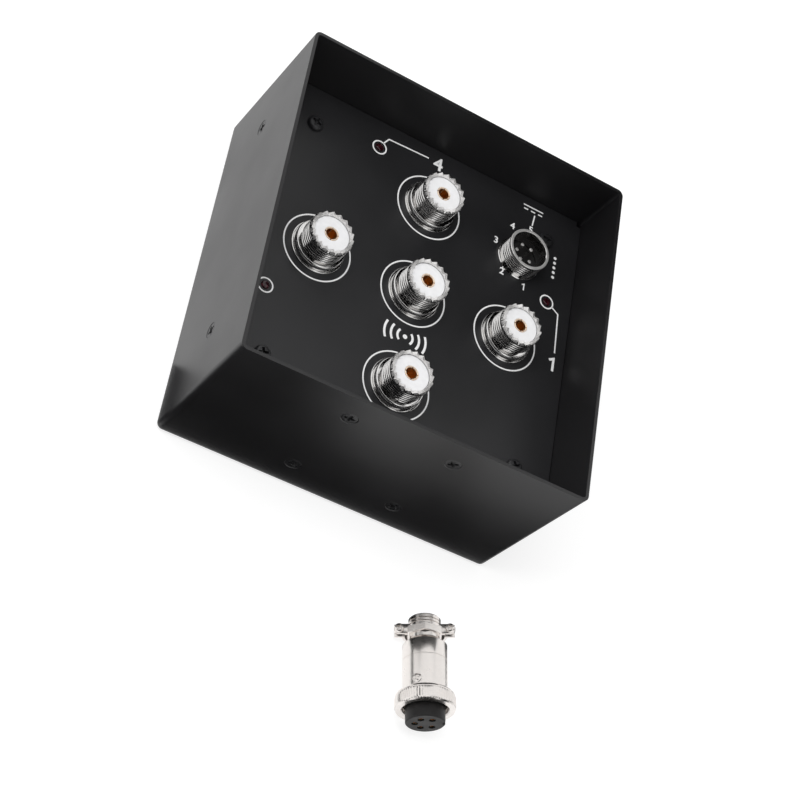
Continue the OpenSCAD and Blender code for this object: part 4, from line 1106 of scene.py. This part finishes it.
class SWITCH_OT_plug_barrel(bpy.types.Operator):
    """Turn the plug's barrel, its black keyed insert and its set screw"""
    bl_idname = "antenna_switch.plug_barrel"
    bl_label = "Plug Barrel"

    def execute(self, context):
        s = context.scene.switch_plug
        place = plug_place(s)
        bore = s.insert_radius + 0.05 * MM
        low = stop_height(s)
        collar = s.barrel_length + s.shoulder
        neck = s.collar_radius - 0.4 * MM
        stop = s.barrel_radius + 0.9 * MM
        groove = s.barrel_radius - 0.16 * MM
        slope = [(s.barrel_radius - 0.15 * MM - t * (s.barrel_radius - neck - 0.5 * MM),
                  s.barrel_length + 0.12 * MM + s.shoulder * 0.84 * t ** 1.7)
                 for t in (i / 8 for i in range(9))]
        bm = bmesh.new()
        lathe(bm, [
            (bore, low), (stop, low), (stop, low + 0.9 * MM), (s.barrel_radius, low + 0.9 * MM),
            (s.barrel_radius, s.groove_height), (groove, s.groove_height + 0.08 * MM),
            (groove, s.groove_height + 0.2 * MM),
            (s.barrel_radius, s.groove_height + 0.28 * MM),
            (s.barrel_radius, s.barrel_length - 0.15 * MM)] + slope + [
            (neck + 0.3 * MM, collar), (s.entry_radius, collar), (s.entry_radius, collar - 2.3 * MM),
            (bore, s.barrel_length - 2.3 * MM)], 112, place)
        barrel = as_object("plug_body", bm)
        seat = (place @ Matrix.Rotation(s.set_screw_turn, 4, "Z")
                @ Matrix.Translation((s.barrel_radius - 0.25 * MM, 0, s.set_screw_height))
                @ Matrix.Rotation(FULL_TURN / 4, 4, "Y"))
        hole = bmesh.new()
        lathe(hole, [(0, -3 * MM), (1.35 * MM, -3 * MM), (1.35 * MM, 0), (1.6 * MM, 0.1 * MM),
                     (1.6 * MM, 2 * MM), (0, 2 * MM)], 32, seat)
        cut(barrel, as_object("plug_hole", hole))
        hand_in(barrel, PLUG_BODY, "plug_plate", "plug_nickel", "plug_barrel")
        bm = bmesh.new()
        screw(bm, 1.5 * MM, 0.22 * MM, 1.25 * MM, 0.7 * MM, seat, turn=0.4)
        hand_in(as_object("plug_side_screw", bm), PLUG_BODY, "plug_plate", "plug_nickel",
                "plug_set_screw")
        self.insert(s, place)
        return {"FINISHED"}

    @staticmethod
    def insert(s, place):
        bm = bmesh.new()
        lathe(bm, [(0, 0), (s.insert_radius - 0.35 * MM, 0), (s.insert_radius, 0.35 * MM),
                   (s.insert_radius, s.insert_length), (0, s.insert_length)], 80, place)
        block = as_object("plug_block", bm)
        holes = bmesh.new()
        pin_circle = bpy.context.scene.switch_control.pin_circle
        for degrees in PIN_TURNS:
            spot = place @ Matrix.Rotation(math.radians(-degrees), 4, "Z") @ Matrix.Translation(
                (pin_circle, 0, 0))
            lathe(holes, [(0, -MM), (1.45 * MM, -MM), (1.0 * MM, 0.4 * MM), (1.0 * MM, 14 * MM),
                          (0, 14 * MM)], 24, spot)
        keyway = place @ Matrix.Translation((s.insert_radius, 0, -MM))
        lathe(holes, [(0, 0), (1.2 * MM, 0), (1.2 * MM, 8 * MM), (0, 8 * MM)], 32, keyway)
        cut(block, as_object("plug_block_holes", holes))
        hand_in(block, PLUG_BODY, "black_phenolic", "black_insert", "plug_insert")


class SWITCH_OT_coupling_nut(bpy.types.Operator):
    """Turn and knurl the plug's coupling nut"""
    bl_idname = "antenna_switch.coupling_nut"
    bl_label = "Coupling Nut"

    def execute(self, context):
        s = context.scene.switch_plug
        place = plug_place(s)
        bore = s.barrel_radius + 0.4 * MM
        thread = 7.5 * MM
        stop = s.barrel_radius + 1.3 * MM
        low = stop_height(s)
        top = s.nut_low + s.nut_length
        band_low, band_high = s.nut_low + 0.3 * MM, top - 1.5 * MM
        rows = 8
        band = [(s.nut_radius, band_low + (band_high - band_low) * i / rows) for i in range(rows + 1)]
        slope_low = band_high + 0.42 * MM
        slope = [(s.nut_radius - 0.25 * MM - t * (s.nut_radius - bore - 0.75 * MM),
                  slope_low + (top - slope_low) * math.sin(t * FULL_TURN / 4) ** 0.8)
                 for t in (i / 8 for i in range(9))]
        neck = s.nut_radius - 0.3 * MM
        bm = bmesh.new()
        verts = lathe(bm, [(thread, s.nut_low + 0.4 * MM), (thread + 0.4 * MM, s.nut_low),
                           (s.nut_radius - 0.35 * MM, s.nut_low)] + band
                      + [(neck, band_high + 0.12 * MM), (neck, band_high + 0.36 * MM)] + slope
                      + [(bore, top - 0.25 * MM), (bore, low + 1.3 * MM), (stop, low + 1.3 * MM),
                         (stop, low - 0.4 * MM), (thread, low - 0.8 * MM)], s.knurl_count * 2)
        knurled = [v for v in verts if math.hypot(v.co.x, v.co.y) > s.nut_radius - 0.01 * MM]
        shrink = 1 - s.knurl_depth / s.nut_radius
        for v in knurled:
            row = round((v.co.z - band_low) / (band_high - band_low) * rows)
            column = round(math.atan2(v.co.y, v.co.x) / FULL_TURN * s.knurl_count * 2)
            if row in (0, rows) or column % 2:
                v.co.x *= shrink
                v.co.y *= shrink
        bmesh.ops.transform(bm, matrix=place, verts=list(bm.verts))
        hand_in(as_object("knurled_nut", bm, 22), NUT_BODY, "plug_plate", "plug_nickel", "plug_ring")
        return {"FINISHED"}


class SWITCH_OT_cable_collar(bpy.types.Operator):
    """Make the plug's hexagonal cable collar, its saddle strap and the strap's screws"""
    bl_idname = "antenna_switch.cable_collar"
    bl_label = "Cable Collar"

    def execute(self, context):
        s = context.scene.switch_plug
        place = plug_place(s)
        low = s.barrel_length + s.shoulder
        hex_low = low + s.neck
        hex_high = hex_low + s.hex_height
        top = hex_high + s.collar_height
        saddle_z = hex_low + s.hex_height / 2 + MM
        strap_inner = s.hex_flats / 2 / math.cos(math.radians(30)) + 0.15 * MM
        ear_x = strap_inner + 0.2 * MM + s.ear_length / 2
        self.collar(s, place, low, hex_low, hex_high, top, saddle_z, ear_x)
        self.strap(s, place, strap_inner, saddle_z, ear_x)
        bm = bmesh.new()
        for side in (-1, 1):
            spot = place @ Matrix.Translation((side * ear_x, -1.65 * MM, saddle_z)) @ Matrix.Rotation(
                FULL_TURN / 4, 4, "X")
            screw(bm, 1.6 * MM, 1.0 * MM, MM, 3.6 * MM, spot, turn=0.6 * side)
        hand_in(as_object("strap_screw_set", bm), PLUG_BODY, "plug_plate", "plug_nickel",
                "plug_saddle_screws")
        return {"FINISHED"}

    @staticmethod
    def collar(s, place, low, hex_low, hex_high, top, saddle_z, ear_x):
        neck = s.collar_radius - 0.4 * MM
        flat = s.hex_flats / 2
        bm = bmesh.new()
        lathe(bm, [(s.entry_radius, low), (neck, low), (neck, hex_low + 0.1 * MM),
                   (s.entry_radius, hex_low + 0.1 * MM)], 72)
        nut = lathe(bm, [(s.entry_radius, hex_low), (flat - 0.4 * MM, hex_low),
                         (flat, hex_low + 0.3 * MM), (flat, hex_high - 0.3 * MM),
                         (flat - 0.4 * MM, hex_high), (s.entry_radius, hex_high)], 72)
        for v in nut:
            radius = math.hypot(v.co.x, v.co.y)
            if radius > flat - 0.5 * MM:
                from_flat = (math.atan2(v.co.y, v.co.x) - FULL_TURN / 12) % (FULL_TURN / 6)
                grow = 1 / math.cos(from_flat - FULL_TURN / 12)
                v.co.x *= grow
                v.co.y *= grow
        r = s.collar_radius
        lathe(bm, [(s.entry_radius, hex_high - 0.1 * MM), (r, hex_high - 0.1 * MM),
                   (r, hex_high + 0.7 * MM), (r - 0.35 * MM, hex_high + 0.85 * MM),
                   (r - 0.35 * MM, hex_high + 1.0 * MM), (r, hex_high + 1.15 * MM),
                   (r, hex_high + 1.8 * MM), (r - 0.35 * MM, hex_high + 1.95 * MM),
                   (r - 0.35 * MM, hex_high + 2.1 * MM), (r, hex_high + 2.25 * MM),
                   (r, top - 0.4 * MM), (r - 0.4 * MM, top), (s.entry_radius + 0.5 * MM, top),
                   (s.entry_radius + 0.4 * MM, top - 0.9 * MM), (s.entry_radius, top - 1.1 * MM)], 72)
        for side in (-1, 1):
            inner = s.entry_radius + 0.5 * MM
            outer = ear_x + s.ear_length / 2
            half = (s.saddle_width - MM) / 2
            outline = [(inner, -half), (outer - half * 0.6, -half)]
            outline += arc(outer - half * 0.9, 0, half, -70, 70, 10)
            outline += [(outer - half * 0.6, half), (inner, half)]
            turn = Matrix.Translation((0, -0.1 * MM, saddle_z)) @ Matrix.Rotation(FULL_TURN / 4, 4, "X")
            lug = prism(bm, [(side * x, y) for x, y in outline], 0, 1.5 * MM, turn)
            soften(bm, lug, 0.15 * MM, 50)
        bmesh.ops.transform(bm, matrix=place, verts=list(bm.verts))
        hand_in(as_object("cable_collar", bm), PLUG_BODY, "plug_plate", "plug_nickel", "plug_collar")

    @staticmethod
    def strap(s, place, inner, saddle_z, ear_x):
        """The strap's outline is drawn along the plug's axis, arch and ears in one bend."""
        sheet = s.saddle_sheet
        outer = inner + sheet
        end = ear_x + s.ear_length / 2
        bend = 0.8 * MM
        start = math.degrees(math.asin((sheet + bend) / (outer + bend)))
        centre_x = (outer + bend) * math.cos(math.radians(start))
        right = [(end, 0), (end, sheet)] + arc(centre_x, sheet + bend, bend, 270, 180 + start, 5)
        over = arc(0, 0, outer, start + 4, 176 - start, 30)
        left = [(-x, y) for x, y in right[::-1]]
        under = arc(0, 0, inner, 180, 0, 30)
        bm = bmesh.new()
        half = s.saddle_width / 2
        strap = prism(bm, right + over + left + under, saddle_z - half, saddle_z + half)
        soften(bm, strap, 0.12 * MM, 50)
        bmesh.ops.transform(bm, matrix=place, verts=list(bm.verts))
        hand_in(as_object("saddle_strap", bm), PLUG_BODY, "plug_plate", "plug_nickel", "plug_saddle")


# ---- Inside ----

INSIDE_FINISHES = {
    "flange_nuts": "zinc_plate", "bracket_nuts": "zinc_plate", "board_screws": "zinc_plate",
    "earth_tags": "tinned_brass", "socket_nuts": "nickel_plate", "control_washer": "washer_plate",
    "control_nut": "nickel_plate", "circuit_board": "solder_resist", "board_posts": "plain_brass",
    "board_diodes": "diode_glass", "feed_wires": "bare_copper", "control_wires": "wire_sleeve",
    "relay_bases": "relay_base", "relay_yokes": "relay_iron", "relay_terminals": "bare_copper",
    "plug_contacts": "gold_flash",
}


class SWITCH_OT_inside(bpy.types.Operator):
    """Finish the board, relays, nuts and wiring behind the panel"""
    bl_idname = "antenna_switch.inside"
    bl_label = "Inside"

    def execute(self, context):
        finishes = dict(INSIDE_FINISHES)
        for port in PORTS:
            finishes[f"relay_{port}_cover"] = "relay_cover"
            finishes[f"relay_{port}_coil"] = "coil_winding"
            finishes[f"relay_{port}_armature"] = "relay_iron"
        for node, name in finishes.items():
            mesh = frame["nodes"][node].data
            mesh.materials.clear()
            mesh.materials.append(finish(name))
        return {"FINISHED"}


# ---- Stage ----

def seen_directly(tree):
    """1 for a ray from the camera, or one that reached the surface by a mirror or through glass."""
    path = tree.nodes.new("ShaderNodeLightPath")
    total = path.outputs["Is Camera Ray"]
    for kind in ("Is Glossy Ray", "Is Transmission Ray"):
        either = tree.nodes.new("ShaderNodeMath")
        either.operation = "MAXIMUM"
        tree.links.new(total, either.inputs[0])
        tree.links.new(path.outputs[kind], either.inputs[1])
        total = either.outputs[0]
    return total


def floor_finish():
    """White paper. Seen directly, a glow and a weak paper together show white and a soft shadow."""
    made = bpy.data.materials.new("floor_paper")
    made.use_nodes = True
    tree = made.node_tree
    tree.nodes.clear()
    grain = noise(tree, 60, 3)
    plain = tree.nodes.new("ShaderNodeBsdfDiffuse")
    plain.inputs["Color"].default_value = (0.82, 0.82, 0.82, 1)
    soft = tree.nodes.new("ShaderNodeBsdfDiffuse")
    mixed = tree.nodes.new("ShaderNodeMix")
    mixed.data_type = "RGBA"
    mixed.inputs["A"].default_value = (0.40, 0.40, 0.40, 1)
    mixed.inputs["B"].default_value = (0.42, 0.42, 0.42, 1)
    tree.links.new(grain, mixed.inputs["Factor"])
    tree.links.new(mixed.outputs["Result"], soft.inputs["Color"])
    glow = tree.nodes.new("ShaderNodeEmission")
    glow.inputs["Strength"].default_value = 0.72
    both = tree.nodes.new("ShaderNodeAddShader")
    pick = tree.nodes.new("ShaderNodeMixShader")
    out = tree.nodes.new("ShaderNodeOutputMaterial")
    tree.links.new(soft.outputs[0], both.inputs[0])
    tree.links.new(glow.outputs[0], both.inputs[1])
    tree.links.new(seen_directly(tree), pick.inputs[0])
    tree.links.new(plain.outputs[0], pick.inputs[1])
    tree.links.new(both.outputs[0], pick.inputs[2])
    tree.links.new(pick.outputs[0], out.inputs["Surface"])
    return made


def area_lamp(name, place, target, size, power):
    lamp = bpy.data.lights.new(name, "AREA")
    lamp.shape = "SQUARE"
    lamp.size = size
    lamp.energy = power
    holder = bpy.data.objects.new(name, lamp)
    holder.location = place
    holder.rotation_euler = (Vector(target) - Vector(place)).to_track_quat("-Z", "Y").to_euler()
    holder.visible_glossy = False
    bpy.context.scene.collection.objects.link(holder)


def black_card(name, place, target, width, height):
    """A black card that paints dark reflections: only what shines shows it, and it takes no light from
    the object.
    """
    bm = bmesh.new()
    bmesh.ops.create_grid(bm, x_segments=1, y_segments=1, size=0.5)
    bmesh.ops.scale(bm, vec=(width, height, 1), verts=bm.verts)
    turn = (Vector(target) - Vector(place)).to_track_quat("Z", "Y").to_matrix().to_4x4()
    bmesh.ops.transform(bm, matrix=Matrix.Translation(place) @ turn, verts=bm.verts)
    card = as_object(name, bm)
    card.data.materials.append(new_finish(name, (0.004, 0.004, 0.004), 0.0, 1.0, IOR=1.0)[0])
    for kind in ("camera", "diffuse", "transmission", "volume_scatter", "shadow"):
        setattr(card, "visible_" + kind, False)


class SWITCH_OT_stage(bpy.types.Operator):
    """Lay the pale floor and set the lamps, the sky and the camera"""
    bl_idname = "antenna_switch.stage"
    bl_label = "Stage"

    def execute(self, context):
        s = context.scene.switch_stage
        bm = bmesh.new()
        bmesh.ops.create_grid(bm, x_segments=1, y_segments=1, size=s.floor_size / 2)
        floor = as_object("floor", bm)
        floor.location.z = cad_box[0].z
        floor.data.materials.append(floor_finish())
        middle = (cad_box[0] + cad_box[1]) / 2
        for name, way, size, power in (("key_lamp", (-0.38, 0.05, 0.98), 0.7, s.key_power),
                                       ("side_lamp", (-0.95, -0.15, 0.42), 0.5, s.side_power)):
            area_lamp(name, middle + Vector(way), middle, size, power)
        self.cards()
        context.scene.world = self.sky(s)
        self.camera(context.scene, s)
        context.scene.view_settings.view_transform = "Standard"
        return {"FINISHED"}

    @staticmethod
    def cards():
        """Three cards above the box face its panel and paint dark reflections on its metal, and three
        lie on the floor in front of it.
        """
        panel = Vector((0, 0, panel_face()))
        for name, way, reach, size in (("upper_card", (0.42, 0.72, 0.66), 0.145, 0.15),
                                       ("camera_card", (-0.32, -0.54, 0.78), 0.55, 0.64),
                                       ("right_card", (0.74, -0.12, 0.66), 0.60, 0.42)):
            black_card(name, panel + Vector(way) * reach, panel, size, size)
        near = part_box("case_shell")[0]
        # These floor cards show only in reflections: the first and last, at the box's foot, are a
        # painted shadow of the box on the floor; the middle one paints a dark reflection of the floor
        # further out.
        for name, x, y, width, depth in (("near_card", 0.0, near.y - 0.016, 0.36, 0.030),
                                         ("front_card", -0.09, near.y - 0.075, 0.18, 0.09),
                                         ("left_card", near.x - 0.006, near.y, 0.010, 0.05)):
            spot = Vector((x, y, near.z + 0.0005))
            black_card(name, spot, spot + Vector((0, 0, 1)), width, depth)

    @staticmethod
    def sky(s):
        """A white world that lights the object less than it shows."""
        world = bpy.data.worlds.new("studio_sky")
        world.use_nodes = True
        tree = world.node_tree
        backdrop = tree.nodes["Background"]
        level = tree.nodes.new("ShaderNodeMapRange")
        level.inputs["To Min"].default_value = s.sky
        level.inputs["To Max"].default_value = 1.0
        tree.links.new(seen_directly(tree), level.inputs["Value"])
        tree.links.new(level.outputs["Result"], backdrop.inputs["Strength"])
        backdrop.inputs["Color"].default_value = (1, 1, 1, 1)
        return world

    @staticmethod
    def camera(scene, s):
        camera = bpy.data.objects.new("camera", bpy.data.cameras.new("camera"))
        camera.location = s.camera_place
        camera.rotation_euler = Euler(s.camera_turn)
        camera.data.lens = s.focal_length
        camera.data.sensor_width = 36.0
        camera.data.clip_start = 0.01
        scene.collection.objects.link(camera)
        scene.camera = camera


STEPS = (SWITCH_OT_stage, SWITCH_OT_case, SWITCH_OT_screws, SWITCH_OT_sockets,
         SWITCH_OT_control_socket, SWITCH_OT_lamps, SWITCH_OT_print, SWITCH_OT_plug_barrel,
         SWITCH_OT_coupling_nut, SWITCH_OT_cable_collar, SWITCH_OT_inside)


class SWITCH_PT_panel(bpy.types.Panel):
    """Lists the steps that build the switch"""
    bl_label = "Antenna Switch"
    bl_idname = "SWITCH_PT_panel"
    bl_space_type = "VIEW_3D"
    bl_region_type = "UI"
    bl_category = "Antenna Switch"

    def draw(self, context):
        for step in STEPS:
            self.layout.operator(step.bl_idname)


CLASSES = (*GROUPS.values(), *STEPS, SWITCH_PT_panel)


def register():
    for item in CLASSES:
        bpy.utils.register_class(item)
    for name, group in GROUPS.items():
        setattr(bpy.types.Scene, name, PointerProperty(type=group))


def unregister():
    for name in GROUPS:
        delattr(bpy.types.Scene, name)
    for item in reversed(CLASSES):
        bpy.utils.unregister_class(item)


def main():
    register()
    for step in STEPS:
        family, name = step.bl_idname.split(".")
        getattr(getattr(bpy.ops, family), name)()


if __name__ == "__main__":
    main()
